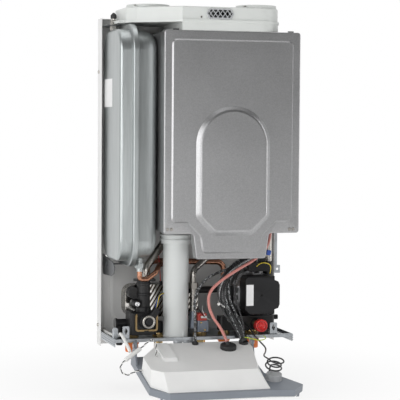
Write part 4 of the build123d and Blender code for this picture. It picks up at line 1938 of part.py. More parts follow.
with BuildPart() as gauge_capillary:
    lead_in = [
        (112, -134, 30), (112, -150, 30), (115, -TRAY_DEPTH + 13, 21),
        (121, -TRAY_DEPTH - 6, 6), (132, -TRAY_DEPTH - 18, -8), (138, -TRAY_DEPTH - 38, -18),
        (128, -TRAY_DEPTH - 66, -24), (112, -TRAY_DEPTH - 94, -28)]
    nodes = [coil_node(quarter) for quarter in range(4 * COIL_TURNS)]
    with BuildLine() as winding:
        FilletPolyline(*lead_in, radius=bend_radii(lead_in))
        at = Vector(*lead_in[-1])
        way = (at - Vector(*lead_in[-2])).normalized()
        for place, place_way in nodes + [(gauge_stub, PANEL_UP * -1)]:
            for arc in biarc(at, way, place, place_way):
                add(arc)
            at, way = place, place_way
    with BuildSketch(Plane(origin=winding.line @ 0, z_dir=winding.line % 0)):
        Circle(CAPILLARY_DIAMETER / 2)
    sweep()
SAMPLES = 500
tube = winding.wires()[0]
samples = [tube @ (k / SAMPLES) for k in range(SAMPLES + 1)]
apart = int(3 * CAPILLARY_DIAMETER / (tube.length / SAMPLES)) + 1
least = min((a - b).length for k, a in enumerate(samples) for b in samples[k + apart:])
print(f"gauge capillary: smallest bend {min(bend_radii(lead_in)):.1f}, length {tube.length:.0f}, "
      f"least gap to itself {least - CAPILLARY_DIAMETER:.2f}")
save(gauge_capillary.part, "gauge_capillary")
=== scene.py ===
"""Looks of a wall-hung combi boiler whose casing is off and whose control panel hangs open."""

from math import cos, pi, radians, sin

import bmesh
import bpy
from mathutils import Matrix, Vector


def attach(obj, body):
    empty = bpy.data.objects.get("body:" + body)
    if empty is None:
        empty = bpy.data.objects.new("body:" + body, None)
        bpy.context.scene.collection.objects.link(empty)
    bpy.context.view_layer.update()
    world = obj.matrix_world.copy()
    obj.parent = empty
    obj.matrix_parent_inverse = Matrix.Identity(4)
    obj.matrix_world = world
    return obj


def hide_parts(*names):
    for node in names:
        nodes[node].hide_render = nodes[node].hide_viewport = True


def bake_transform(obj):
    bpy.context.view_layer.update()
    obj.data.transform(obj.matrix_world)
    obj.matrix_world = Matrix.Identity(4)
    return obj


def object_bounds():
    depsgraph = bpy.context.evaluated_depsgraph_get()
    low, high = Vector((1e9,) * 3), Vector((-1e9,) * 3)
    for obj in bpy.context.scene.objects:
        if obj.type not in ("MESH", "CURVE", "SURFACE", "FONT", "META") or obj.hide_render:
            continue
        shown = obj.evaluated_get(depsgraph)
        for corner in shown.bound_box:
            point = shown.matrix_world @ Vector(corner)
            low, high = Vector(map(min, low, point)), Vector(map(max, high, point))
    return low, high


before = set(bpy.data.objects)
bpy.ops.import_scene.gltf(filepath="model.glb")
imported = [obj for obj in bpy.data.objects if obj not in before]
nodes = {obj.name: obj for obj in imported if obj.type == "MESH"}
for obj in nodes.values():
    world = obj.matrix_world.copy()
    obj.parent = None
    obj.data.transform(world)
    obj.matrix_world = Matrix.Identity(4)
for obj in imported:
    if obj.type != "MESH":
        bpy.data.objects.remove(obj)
cad_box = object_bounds()
MM = 0.001

# ---------------------------------------------------------------- shader helpers


def feed(tree, node, inputs):
    """Gives a node's inputs their links, numbers or colours."""
    for socket, value in inputs.items():
        if hasattr(value, "links"):
            tree.links.new(value, node.inputs[socket])
        else:
            node.inputs[socket].default_value = value


def add_node(tree, kind, inputs=None, **settings):
    """A new shader node with its settings and inputs."""
    node = tree.nodes.new("ShaderNode" + kind)
    for title, value in settings.items():
        setattr(node, title, value)
    feed(tree, node, inputs or {})
    return node


def maths(tree, operation, first, second=None, clamp=False):
    """A Math node whose inputs are outputs of others or numbers; returns its output."""
    inputs = {0: first} if second is None else {0: first, 1: second}
    return add_node(tree, "Math", inputs, operation=operation, use_clamp=clamp).outputs[0]


def ramp(tree, value, span, result, kind="SMOOTHSTEP"):
    """A Map Range node, which turns one span of numbers into another; returns its output."""
    inputs = dict(zip(("From Min", "From Max", "To Min", "To Max"), (*span, *result)))
    inputs["Value"] = value
    return add_node(tree, "MapRange", inputs, interpolation_type=kind).outputs["Result"]


def noise(tree, where, scale, detail):
    """The grey value of a Noise texture."""
    return add_node(tree, "TexNoise", {"Vector": where, "Scale": scale, "Detail": detail,
                                       "Roughness": 0.55}).outputs["Fac"]


def blend_colour(tree, share, first, second, kind="MIX"):
    """A colour Mix node; returns its output."""
    return add_node(tree, "Mix", {0: share, 6: first, 7: second}, data_type="RGBA",
                    blend_type=kind).outputs[2]


def coordinate(tree, kind="Object"):
    """A texture coordinate."""
    return add_node(tree, "TexCoord").outputs[kind]


def new_material(name):
    """A node material, its tree and its shader."""
    paint = bpy.data.materials.new(name)
    paint.use_nodes = True
    return paint, paint.node_tree, paint.node_tree.nodes["Principled BSDF"]


def new_group(name, inputs, outputs):
    """A node group with defaults for its colours and numbers; returns it and its two ends."""
    group = bpy.data.node_groups.new(name, "ShaderNodeTree")
    for title, value in inputs.items():
        kind = "NodeSocketColor" if isinstance(value, tuple) else "NodeSocketFloat"
        socket = group.interface.new_socket(title, in_out="INPUT", socket_type=kind)
        socket.default_value = value
    for title, kind in outputs.items():
        group.interface.new_socket(title, in_out="OUTPUT", socket_type="NodeSocket" + kind)
    return group, group.nodes.new("NodeGroupInput").outputs, group.nodes.new("NodeGroupOutput")


# ---------------------------------------------------------------- camera, light, floor

CAMERA_PLACE = (-1.017184, -3.582153, 0.508618)
CAMERA_AZIMUTH = 16.421
CAMERA_PITCH = -2.89
CAMERA_ROLL = 0.4
PICTURE_SIDE = 400
FOCAL_PIXELS = 1517.409
SENSOR = 36.0


def make_camera():
    """The camera that stands where the photograph was taken from."""
    azimuth, pitch, roll = radians(CAMERA_AZIMUTH), radians(CAMERA_PITCH), radians(CAMERA_ROLL)
    ahead = Vector((sin(azimuth) * cos(pitch), cos(azimuth) * cos(pitch), sin(pitch)))
    level = Vector((cos(azimuth), -sin(azimuth), 0))
    up = level.cross(ahead)
    right = level * cos(roll) + up * sin(roll)
    top = -level * sin(roll) + up * cos(roll)
    data = bpy.data.cameras.new("photo_camera")
    data.sensor_width = SENSOR
    data.lens = FOCAL_PIXELS / PICTURE_SIDE * SENSOR
    data.clip_start, data.clip_end = 0.05, 60
    camera = bpy.data.objects.new("photo_camera", data)
    bpy.context.scene.collection.objects.link(camera)
    camera.matrix_world = Matrix.Translation(CAMERA_PLACE) @ Matrix(
        (right, top, -ahead)).transposed().to_4x4()
    bpy.context.scene.camera = camera


ROOM_FRONT = 0.07
ROOM_BACK = 0.95
ROOM_TOP = 0.5
ROOM_FLOOR = 0.5
# each light's place, the point that it looks at, its width and height, its power
LIGHT_BOXES = {
    "left_box": ((-2.5, -1.7, 0.8), (-0.1, -0.15, 0.4), (1.7, 2.6), 40),
    "right_box": ((2.7, -1.3, 0.8), (0.1, -0.15, 0.4), (0.7, 2.4), 18),
    "top_box": ((0.1, -0.3, 2.7), (0, -0.15, 0.5), (2.2, 1.2), 7),
    "front_box": ((-1.9, -3.6, 1.5), (0, -0.2, 0.2), (1.4, 1.6), 20),
    "low_box": ((-0.6, -2.6, 0.3), (0, -0.15, 0.12), (1.6, 0.5), 7),
}
FLOOR_BELOW = 0.012
FLOOR_RADIUS = 14
FLOOR_GREY = 0.86
FLOOR_FADE = 0.72


def soft_box(name, place, aim, size, power):
    """A large area light that looks at a point."""
    data = bpy.data.lights.new(name, "AREA")
    data.shape = "RECTANGLE"
    data.size, data.size_y = size
    data.energy = power
    lamp = bpy.data.objects.new(name, data)
    bpy.context.scene.collection.objects.link(lamp)
    lamp.location = place
    lamp.rotation_mode = "QUATERNION"
    lamp.rotation_quaternion = (Vector(place) - Vector(aim)).to_track_quat("Z", "Y")


def make_room():
    """A white surround that the camera sees, and a dimmer one that lights and mirrors."""
    world = bpy.data.worlds.new("studio")
    bpy.context.scene.world = world
    world.use_nodes = True
    tree = world.node_tree
    tree.nodes.clear()
    place = add_node(tree, "SeparateXYZ", {0: coordinate(tree, "Generated")}).outputs
    # bright behind the wall side, dim on the camera's side, lighter above and below
    depth = ramp(tree, place["Y"], (-0.25, 0.85), (ROOM_FRONT, ROOM_BACK))
    height = ramp(tree, place["Z"], (0.55, 1.0), (0.0, ROOM_TOP))
    below = ramp(tree, place["Z"], (-0.05, -0.7), (0.0, ROOM_FLOOR), "LINEAR")
    whole = maths(tree, "ADD", maths(tree, "ADD", depth, height), below)
    felt = add_node(tree, "Background", {"Color": whole, "Strength": 1.0})
    seen = add_node(tree, "Background", {"Color": (1, 1, 1, 1), "Strength": 1.0})
    ray = add_node(tree, "LightPath").outputs["Is Camera Ray"]
    mix = add_node(tree, "MixShader", {"Fac": ray, 1: felt.outputs[0], 2: seen.outputs[0]})
    add_node(tree, "OutputWorld", {"Surface": mix.outputs[0]})
    for name, (light_place, aim, size, power) in LIGHT_BOXES.items():
        soft_box(name, light_place, aim, size, power)


def make_floor():
    """A pale floor under the hanging panel, which fades into the surround."""
    bpy.ops.object.select_all(action="DESELECT")
    bpy.ops.mesh.primitive_circle_add(vertices=96, radius=FLOOR_RADIUS, fill_type="NGON",
                                      location=(0, 0, cad_box[0].z - FLOOR_BELOW))
    floor = bpy.context.object
    floor.name = "floor"
    bpy.ops.object.transform_apply()
    paint, tree, matt = new_material("pale_floor")
    feed(tree, matt, {"Base Color": (FLOOR_GREY, FLOOR_GREY, FLOOR_GREY, 1), "Roughness": 0.7})
    glow = add_node(tree, "Emission", {"Strength": 1.0})
    reach = add_node(tree, "VectorMath", {0: coordinate(tree)}, operation="LENGTH")
    fade = ramp(tree, reach.outputs["Value"], (0.1, 0.8), (FLOOR_FADE, 1.0))
    mix = add_node(tree, "MixShader", {"Fac": fade, 1: matt.outputs[0], 2: glow.outputs[0]})
    feed(tree, tree.nodes["Material Output"], {"Surface": mix.outputs[0]})
    floor.data.materials.append(paint)


make_camera()
make_room()
make_floor()
bpy.context.scene.view_settings.view_transform = "Standard"

# ---------------------------------------------------------------- shader groups

GREY = (0.5, 0.5, 0.5, 1)
GRAIN_SHARPNESS = 0.5


def make_surface_group():
    """Mottling, dust in corners and worn edges: colour and roughness of any finish."""
    group, into, out = new_group(
        "surface_life",
        {"Color": GREY, "Worn Color": GREY, "Dirt Color": GREY, "Roughness": 0.5,
         "Mottle": 0.1, "Mottle Scale": 20.0, "Wear": 0.2, "Dirt": 0.2},
        {"Color": "Color", "Roughness": "Float"})
    where = coordinate(group)
    pointed = add_node(group, "NewGeometry").outputs["Pointiness"]
    broad = noise(group, where, into["Mottle Scale"], 4.0)
    fine = noise(group, where, 900.0, 2.0)
    spread = maths(group, "MULTIPLY", maths(group, "SUBTRACT", broad, 0.5), into["Mottle"])
    factor = maths(group, "ADD", 1.0, maths(group, "MULTIPLY", spread, 2.0))
    mottled = blend_colour(group, 1.0, into["Color"], factor, "MULTIPLY")
    edge = maths(group, "MULTIPLY", maths(group, "SUBTRACT", pointed, 0.52), 9.0, True)
    rubbed = maths(group, "MULTIPLY", into["Wear"], maths(group, "ADD", fine, 0.4))
    edge = maths(group, "MULTIPLY", edge, rubbed, True)
    worn = blend_colour(group, edge, mottled, into["Worn Color"])
    corner = maths(group, "MULTIPLY", maths(group, "SUBTRACT", 0.49, pointed), 8.0, True)
    dusty = maths(group, "MULTIPLY", into["Dirt"], maths(group, "ADD", broad, 0.5))
    corner = maths(group, "MULTIPLY", corner, dusty, True)
    soiled = blend_colour(group, corner, worn, into["Dirt Color"])
    rough = maths(group, "ADD", into["Roughness"], maths(group, "MULTIPLY", spread, 1.5))
    rough = maths(group, "ADD", rough, maths(group, "MULTIPLY", corner, 0.25), True)
    feed(group, out, {"Color": soiled, "Roughness": rough})
    return group


def make_grain_group():
    """Fine moulded or painted grain: a height for bumps."""
    group, into, out = new_group("fine_grain", {"Scale": 900.0}, {"Height": "Float"})
    where = coordinate(group)
    cells = add_node(group, "TexVoronoi", {"Vector": where, "Scale": into["Scale"]},
                     feature="SMOOTH_F1")
    pits = maths(group, "MULTIPLY", cells.outputs["Distance"], GRAIN_SHARPNESS)
    grain = noise(group, where, into["Scale"], 4.0)
    feed(group, out, {"Height": maths(group, "ADD", pits, grain)})
    return group


def make_flake_group():
    """Metal flakes and zinc spangle: every cell has its own brightness."""
    group, into, out = new_group(
        "metal_flake", {"Color": GREY, "Scale": 600.0, "Amount": 0.2, "Stretch": 1.0},
        {"Color": "Color"})
    squeeze = add_node(group, "CombineXYZ", {0: 1, 1: 1, 2: into["Stretch"]})
    scaled = add_node(group, "VectorMath", {0: coordinate(group), 1: squeeze.outputs[0]},
                      operation="MULTIPLY")
    cells = add_node(group, "TexVoronoi", {"Vector": scaled.outputs[0],
                                           "Scale": into["Scale"]})
    flake = add_node(group, "SeparateColor", {0: cells.outputs["Color"]}).outputs[0]
    centred = maths(group, "SUBTRACT", flake, 0.5)
    factor = maths(group, "ADD", 1.0, maths(group, "MULTIPLY", centred, into["Amount"]))
    feed(group, out, {"Color": blend_colour(group, 1.0, into["Color"], factor, "MULTIPLY")})
    return group


surface_group = make_surface_group()
grain_group = make_grain_group()
flake_group = make_flake_group()

# ---------------------------------------------------------------- finishes

FINISHES = {}
BUMP_DEPTH = 0.3 * MM
COAT_ROUGHNESS = 0.2


def finish(name, colour, rough, metallic=0.0, mottle=0.06, mottle_scale=18, wear=0.15, dirt=0.3,
           worn=None, dirt_colour=(0.10, 0.095, 0.085), grain=0.15, grain_scale=900.0,
           flake=0.0, flake_scale=600.0, stretch=1.0, coat=0.0, transmission=0.0, sheen=0.0,
           ior=1.5, specular=0.5):
    """Adds a material: flakes, mottling, worn edges, dust and a fine grain on one shader."""
    paint, tree, shader = new_material(name)
    tone = (*colour, 1)
    if flake:
        flakes = add_node(tree, "Group", node_tree=flake_group)
        feed(tree, flakes, {"Color": tone, "Scale": flake_scale, "Amount": flake,
                            "Stretch": stretch})
        tone = flakes.outputs["Color"]
    worn = worn or [min(1, part * 1.6 + 0.04) for part in colour]
    life = add_node(tree, "Group", node_tree=surface_group)
    feed(tree, life, {"Color": tone, "Worn Color": (*worn, 1), "Dirt Color": (*dirt_colour, 1),
                      "Roughness": rough, "Mottle": mottle, "Mottle Scale": mottle_scale,
                      "Wear": wear, "Dirt": dirt})
    relief = add_node(tree, "Group", node_tree=grain_group)
    relief.inputs["Scale"].default_value = grain_scale
    bump = add_node(tree, "Bump", {"Strength": grain, "Distance": BUMP_DEPTH,
                                   "Height": relief.outputs["Height"]})
    feed(tree, shader, {
        "Base Color": life.outputs["Color"], "Roughness": life.outputs["Roughness"],
        "Normal": bump.outputs[0], "Metallic": metallic, "Coat Weight": coat,
        "Coat Roughness": COAT_ROUGHNESS, "Transmission Weight": transmission,
        "Sheen Weight": sheen, "IOR": ior, "Specular IOR Level": specular})
    FINISHES[name] = paint


finish("back_plate_paint", (0.70, 0.70, 0.69), 0.42, grain=0.08, grain_scale=500)
finish("zinc_sheet", (0.40, 0.42, 0.44), 0.33, 0.9, mottle=0.16, mottle_scale=25, flake=0.22,
       flake_scale=140, dirt=0.4)
finish("dark_bracket_paint", (0.09, 0.095, 0.10), 0.45, 0.3, flake=0.3)
finish("vessel_steel", (0.42, 0.445, 0.445), 0.32, 0.84, mottle=0.14, mottle_scale=9, flake=0.12,
       flake_scale=300, stretch=0.05, grain=0.05, dirt=0.25)
finish("chamber_steel", (0.41, 0.41, 0.415), 0.35, 0.92, mottle_scale=10, flake=0.15,
       flake_scale=520, grain=0.04, grain_scale=600, worn=(0.8, 0.8, 0.8), wear=0.4)
finish("white_moulding", (0.66, 0.68, 0.66), 0.38, grain=0.06, wear=0.0, dirt=0.2)
finish("cover_plastic", (0.80, 0.80, 0.79), 0.45, grain=0.12, wear=0.0, dirt=0.2)
finish("frame_plastic", (0.20, 0.22, 0.25), 0.42, grain=0.12, dirt=0.2)
finish("black_moulding", (0.007, 0.007, 0.008), 0.34, specular=0.35, grain=0.2, grain_scale=1300,
       wear=0.25, worn=(0.07, 0.07, 0.07), mottle=0.2)
finish("box_black", (0.007, 0.007, 0.008), 0.44, specular=0.35, grain=0.35, grain_scale=1800,
       wear=0.3, worn=(0.08, 0.08, 0.085), mottle=0.1)
finish("red_moulding", (0.62, 0.018, 0.015), 0.3, grain=0.05, coat=0.3, worn=(0.9, 0.25, 0.2))
finish("coil_red", (0.50, 0.04, 0.03), 0.4, grain=0.1, worn=(0.8, 0.3, 0.25))
finish("orange_cap", (0.72, 0.16, 0.02), 0.4, grain=0.08)
finish("siphon_plastic", (0.62, 0.64, 0.63), 0.30, grain=0.04, wear=0.0, dirt=0.15, mottle=0.04)
finish("soft_rubber", (0.02, 0.02, 0.02), 0.55, grain=0.3, grain_scale=1200)
finish("seal_rubber", (0.20, 0.20, 0.19), 0.7, grain=0.4, grain_scale=700)
finish("cast_aluminium", (0.50, 0.51, 0.53), 0.45, 0.85, grain=0.6, grain_scale=500, mottle=0.15,
       mottle_scale=60)
finish("motor_casting", (0.46, 0.46, 0.47), 0.35, 0.85, grain=0.6, grain_scale=500, mottle=0.2,
       mottle_scale=60)
finish("valve_casting", (0.23, 0.26, 0.31), 0.4, 0.7, grain=0.5, grain_scale=700, mottle=0.15,
       mottle_scale=60)
finish("bright_steel", (0.62, 0.60, 0.56), 0.22, 1.0, mottle=0.15, mottle_scale=40, flake=0.1,
       flake_scale=900, stretch=0.08, grain=0.04)
finish("plate_steel", (0.70, 0.68, 0.64), 0.16, 1.0, mottle=0.18, mottle_scale=45, grain=0.05,
       dirt=1.0, dirt_colour=(0.03, 0.02, 0.015), wear=0.6, worn=(0.95, 0.94, 0.92))
finish("pipe_steel", (0.42, 0.40, 0.37), 0.28, 1.0, mottle=0.18, mottle_scale=30, flake=0.1,
       flake_scale=900, stretch=0.08, grain=0.04)
finish("copper_tube", (0.46, 0.23, 0.15), 0.26, 1.0, mottle=0.22, mottle_scale=35,
       dirt_colour=(0.12, 0.05, 0.03), grain=0.05)
finish("turned_brass", (0.68, 0.50, 0.24), 0.25, 1.0, mottle=0.12, mottle_scale=60, grain=0.05)
finish("bronze_wire", (0.30, 0.21, 0.10), 0.35, 0.9, mottle=0.2, mottle_scale=80)
finish("chrome_plate", (0.72, 0.72, 0.73), 0.12, 1.0, mottle=0.06, grain=0.02)
finish("glazed_ceramic", (0.80, 0.79, 0.76), 0.2, coat=0.5, grain=0.03)
finish("board_lacquer", (0.02, 0.16, 0.06), 0.3, coat=0.4, grain=0.1, flake=0.3, flake_scale=120)
finish("pink_silicone", (0.58, 0.23, 0.20), 0.42, grain=0.12, sheen=0.1, worn=(0.8, 0.45, 0.4),
       mottle=0.12, mottle_scale=60)
finish("white_cable", (0.76, 0.76, 0.74), 0.35, grain=0.06, wear=0.0)
finish("black_cable", (0.016, 0.016, 0.017), 0.28, grain=0.1, coat=0.2)
finish("gauge_plastic", (0.42, 0.43, 0.44), 0.4, grain=0.08)
finish("clear_plastic", (0.92, 0.95, 0.95), 0.08, transmission=1.0, wear=0, dirt=0, mottle=0.03,
       grain=0.02, ior=1.46)
for title, colour in (("blue_plug", (0.03, 0.09, 0.42)), ("yellow_wire", (0.72, 0.55, 0.04)),
                      ("earth_wire", (0.50, 0.62, 0.05)), ("label_paper", (0.80, 0.80, 0.80))):
    finish(title, colour, 0.45, grain=0.08, wear=0.0)

CHEVRON_START = -133.8
CHEVRON_MIDDLE = 85.5
CHEVRON_PITCH = 7.89
CHEVRON_BORDER = -150
CHEVRON_LEAN = radians(32)
# the near-black colour painted into the exchanger's grooves as shade
GROOVE_PAINTED_SHADE = (0.05, 0.035, 0.025, 1)


def make_chevron_group():
    """The exchanger's pressed ridges, drawn only in colour: one on a ridge's top, nought in the
    groove beside it, where painted shade goes.
    """
    group, _, out = new_group("pressed_chevrons", {}, {"Ridge": "Float"})
    place = add_node(group, "SeparateXYZ", {0: coordinate(group)}).outputs
    across = maths(group, "MULTIPLY", maths(group, "SUBTRACT", place[0], CHEVRON_START * MM),
                   cos(CHEVRON_LEAN) / MM)
    up = maths(group, "MULTIPLY", maths(group, "SUBTRACT", place[2], CHEVRON_MIDDLE * MM),
               sin(CHEVRON_LEAN) / MM)
    turns = maths(group, "DIVIDE", maths(group, "SUBTRACT", across, up), CHEVRON_PITCH)
    wave = maths(group, "COSINE", maths(group, "MULTIPLY", turns, 2 * pi))
    steep = maths(group, "ADD", maths(group, "MULTIPLY", wave, 2.2), 0.55, True)
    border = maths(group, "LESS_THAN", place[0], CHEVRON_BORDER * MM)
    feed(group, out, {"Ridge": maths(group, "MAXIMUM", steep, border)})
    return group


def paint_groove_shade():
    """Painted shade: dark grooves painted into the colour between the bright ridges of the plate
    exchanger.
    """
    tree = FINISHES["plate_steel"].node_tree
    shader = tree.nodes["Principled BSDF"]
    ridges = add_node(tree, "Group", node_tree=make_chevron_group())
    steel = shader.inputs["Base Color"].links[0].from_socket
    # painted shade: the grooves take the dark colour and the ridges keep the steel's
    tone = blend_colour(tree, ridges.outputs["Ridge"], GROOVE_PAINTED_SHADE, steel)
    feed(tree, shader, {"Base Color": tone})


paint_groove_shade()

# the nodes that wear each finish
WORN_BY = {
    "back_plate_paint": "back_plate",
    "zinc_sheet": "base_tray casing_brackets",
    "dark_bracket_paint": "vessel_bracket",
    "vessel_steel": "vessel_left_half vessel_right_half",
    "soft_rubber": "vessel_diaphragm valve_cap cable_grommet",
    "bright_steel": "charging_valve diverter_stem",
    "chamber_steel": "chamber_box chamber_front",
    "seal_rubber": "chamber_seal",
    "pipe_steel": "cover_screws gas_pipe steel_pipes",
    "cast_aluminium": "heat_exchanger burner_door",
    "black_moulding":
        "fan_housing pump_housing return_manifold diverter_valve valve_actuator drain_elbow "
        "fan_impeller pump_impeller",
    "glazed_ceramic": "ignition_electrode",
    "white_moulding": "flue_duct top_box_base top_box_lid top_box_caps",
    "gauge_plastic": "top_grille pressure_gauge",
    "siphon_plastic": "siphon_body",
    "motor_casting": "pump_motor",
    "box_black": "pump_control_box",
    "turned_brass": "relief_valve pipe_tails",
    "bronze_wire": "actuator_clip",
    "plate_steel": "plate_exchanger",
    "valve_casting": "gas_valve",
    "coil_red": "gas_valve_coil",
    "copper_tube": "copper_pipes",
    "orange_cap": "tail_caps",
    "red_moulding": "relief_knob gauge_needle",
    "frame_plastic": "panel_frame button_plus button_minus button_mode",
    "cover_plastic": "panel_cover panel_face",
    "clear_plastic": "clear_windows",
    "board_lacquer": "circuit_board",
    "pink_silicone": "ignition_lead",
    "black_cable": "wire_harness gauge_capillary",
    "white_cable": "thermostat_lead lead_connector",
}
for title, wearers in WORN_BY.items():
    for node in wearers.split():
        nodes[node].data.materials.clear()
        nodes[node].data.materials.append(FINISHES[title])

# ---------------------------------------------------------------- modelling helpers

ACROSS = 0
INWARD = 1
RAY_START = -0.6
WELD_REACH = 0.02
SHARP_ANGLE = radians(25)
SMOOTH_ANGLE = radians(32)
FORWARD = (0, -1, 0)
UP = (0, 0, 1)
BLOCK_SINK = 0.6
BLOCK_EDGE = 0.6


def start(kind, scale=(1, 1, 1), **how):
    """A new primitive at its size and place, alone in the selection."""
    bpy.ops.object.select_all(action="DESELECT")
    getattr(bpy.ops.mesh, f"primitive_{kind}_add")(**how)
    bpy.context.object.scale = scale
    bpy.ops.object.transform_apply()
    return bpy.context.object


def select_faces(piece, test):
    """Edit mode with only the faces that pass the test selected."""
    bpy.ops.object.mode_set(mode="EDIT")
    bpy.ops.mesh.select_all(action="DESELECT")
    shape = bmesh.from_edit_mesh(piece.data)
    for face in shape.faces:
        face.select_set(test(face))
    bmesh.update_edit_mesh(piece.data)


def thicken(piece, thickness):
    """Gives a sheet its thickness."""
    thick = piece.modifiers.new("sheet", "SOLIDIFY")
    thick.thickness = thickness * MM
    bpy.ops.object.modifier_apply(modifier="sheet")


def soften(piece, edge, segments=2, sharp=SHARP_ANGLE, smooth=SMOOTH_ANGLE):
    """Rounds a piece's sharp edges, where it has a rounding, and smooths its shading."""
    if edge:
        bevel = piece.modifiers.new("edge", "BEVEL")
        bevel.width = edge * MM
        bevel.segments = segments
        bevel.angle_limit = sharp
        bpy.ops.object.modifier_apply(modifier="edge")
    bpy.ops.object.shade_smooth_by_angle(angle=smooth)


def settle(piece, name, paint, edge=0.0, body="boiler"):
    """Softens a piece's edges, gives it its name and finish, and fixes it to a body."""
    if bpy.context.object.mode == "EDIT":
        bpy.ops.object.mode_set(mode="OBJECT")
    soften(piece, edge)
    piece.name = name
    piece.data.materials.clear()
    piece.data.materials.append(FINISHES[paint])
    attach(piece, body)
    return piece


def surface_at(node, place, axis):
    """How far along an axis a node's surface is first met from outside, at a place in metres."""
    origin, way = Vector(place), Vector((0, 0, 0))
    origin[axis] = RAY_START
    way[axis] = 1
    hit, spot, _, _ = nodes[node].ray_cast(origin, way)
    if not hit:
        raise ValueError(f"nothing of {node} at {tuple(place)}")
    return spot[axis]


def front_of(node, x, z):
    """How far forward a node's surface comes at a place, in millimetres."""
    return surface_at(node, (x * MM, 0, z * MM), INWARD) / MM


def turned(name, centre, axis, profile, paint, sides=40, edge=0.0, body="boiler"):
    """A lathe piece: pairs of radius and height along its axis, spun round it."""
    way = Vector(axis)
    side = way.orthogonal().normalized()
    middle = Vector(centre) * MM
    piece = start("plane", size=MM)
    bpy.ops.object.mode_set(mode="EDIT")
    shape = bmesh.from_edit_mesh(piece.data)
    shape.clear()
    line = [shape.verts.new(middle + (side * radius + way * height) * MM)
            for radius, height in profile]
    for low, high in zip(line, line[1:]):
        shape.edges.new((low, high)).select_set(True)
    bmesh.update_edit_mesh(piece.data)
    bpy.ops.mesh.spin(steps=sides, angle=2 * pi, center=middle, axis=way)
    bpy.ops.mesh.select_all(action="SELECT")
    bpy.ops.mesh.remove_doubles(threshold=WELD_REACH * MM)
    bpy.ops.mesh.normals_make_consistent(inside=False)
    return settle(piece, name, paint, edge, body)


def moulded_block(name, centre, size, paint, lean=0.0, rim=1.0):
    """A small moulded block whose front face is sunk inside a rim."""
    piece = start("cube", size=1, location=Vector(centre) * MM, scale=Vector(size) * MM,
                  rotation=(0, lean, 0))
    select_faces(piece, lambda face: face.normal.y < -0.9)
    # the face is sunk inside its rim, and its middle comes part of the way back
    for inset, sink in ((rim, BLOCK_SINK), (0.6 * rim, -0.6 * BLOCK_SINK)):
        bpy.ops.mesh.inset(thickness=inset * MM)
        bpy.ops.mesh.extrude_region_move(TRANSFORM_OT_translate={"value": (0, sink * MM, 0)})
    return settle(piece, name, paint, BLOCK_EDGE)


# ---------------------------------------------------------------- cords

PANEL_TILT = radians(14)
PANEL_UP = Vector((0, -sin(PANEL_TILT), cos(PANEL_TILT)))


def cord_path(route):
    """The smooth line of a cord, read from a spline whose control points are its route's."""
    data = bpy.data.curves.new("route", "CURVE")
    data.dimensions = "3D"
    data.resolution_u = 16
    line = data.splines.new("NURBS")
    line.points.add(len(route) - 1)
    for point, place in zip(line.points, route):
        point.co = (*(Vector(place) * MM), 1)
    line.order_u = 3
    line.use_endpoint_u = True
    holder = bpy.data.objects.new("route", data)
    bpy.context.scene.collection.objects.link(holder)
    bpy.context.view_layer.update()
    mesh = bpy.data.meshes.new_from_object(holder)
    path = [vertex.co.copy() for vertex in mesh.vertices]
    bpy.data.meshes.remove(mesh)
    bpy.data.objects.remove(holder)
    bpy.data.curves.remove(data)
    return path


def path_length(path):
    """Length of a path in metres."""
    return sum((b - a).length for a, b in zip(path, path[1:]))


def carried_frames(path):
    """A side and a back at each point of a path, which turn as little as they can."""
    ways = [(b - a).normalized() for a, b in zip(path, path[1:])]
    ways = [ways[0]] + [(a + b).normalized() for a, b in zip(ways, ways[1:])] + [ways[-1]]
    side = ways[0].orthogonal().normalized()
    frames = []
    for way in ways:
        side = (side - way * side.dot(way)).normalized()
        frames.append((side, way.cross(side)))
    return frames


def add_strand(shape, path, radius, sides, orbit=0.0, begin=0.0, pitch=1.0, swell=0.0,
               swell_from=0.0, slot=0):
    """One round strand along a path or circling it, closed at its ends, with its own UV."""
    layer = shape.loops.layers.uv.verify()
    long = path_length(path)
    along, centres = [], []
    for k, (place, (side, back)) in enumerate(zip(path, carried_frames(path))):
        along.append(along[-1] + (place - path[k - 1]).length if k else 0.0)
        turn = begin + 2 * pi * along[-1] / pitch
        late = max(0.0, along[-1] / long - swell_from) / (1 - swell_from)
        reach = orbit * (1 + swell * sin(pi * late))
        centres.append(place + (side * cos(turn) + back * sin(turn)) * reach)
    rings = [[shape.verts.new(centre + (side * cos(2 * pi * k / sides)
                                        + back * sin(2 * pi * k / sides)) * radius)
              for k in range(sides)]
             for centre, (side, back) in zip(centres, carried_frames(centres))]
    for row, (low, high) in enumerate(zip(rings, rings[1:])):
        for k in range(sides):
            after = (k + 1) % sides
            face = shape.faces.new((low[k], low[after], high[after], high[k]))
            face.smooth = True
            face.material_index = slot
            for loop, (u, v) in zip(face.loops, ((k, row), (k + 1, row), (k + 1, row + 1),
                                                 (k, row + 1))):
                loop[layer].uv = (u / sides, along[v] * 100)
    for ring in (rings[0][::-1], rings[-1]):
        shape.faces.new(ring).material_index = slot


def finish_strands(name, shape, paints):
    """Turns strands into an object with its materials."""
    mesh = bpy.data.meshes.new(name)
    shape.to_mesh(mesh)
    shape.free()
    cord = bpy.data.objects.new(name, mesh)
    bpy.context.scene.collection.objects.link(cord)
    for paint in paints:
        mesh.materials.append(FINISHES[paint])
    return cord


BRAID_YARNS = 6.0


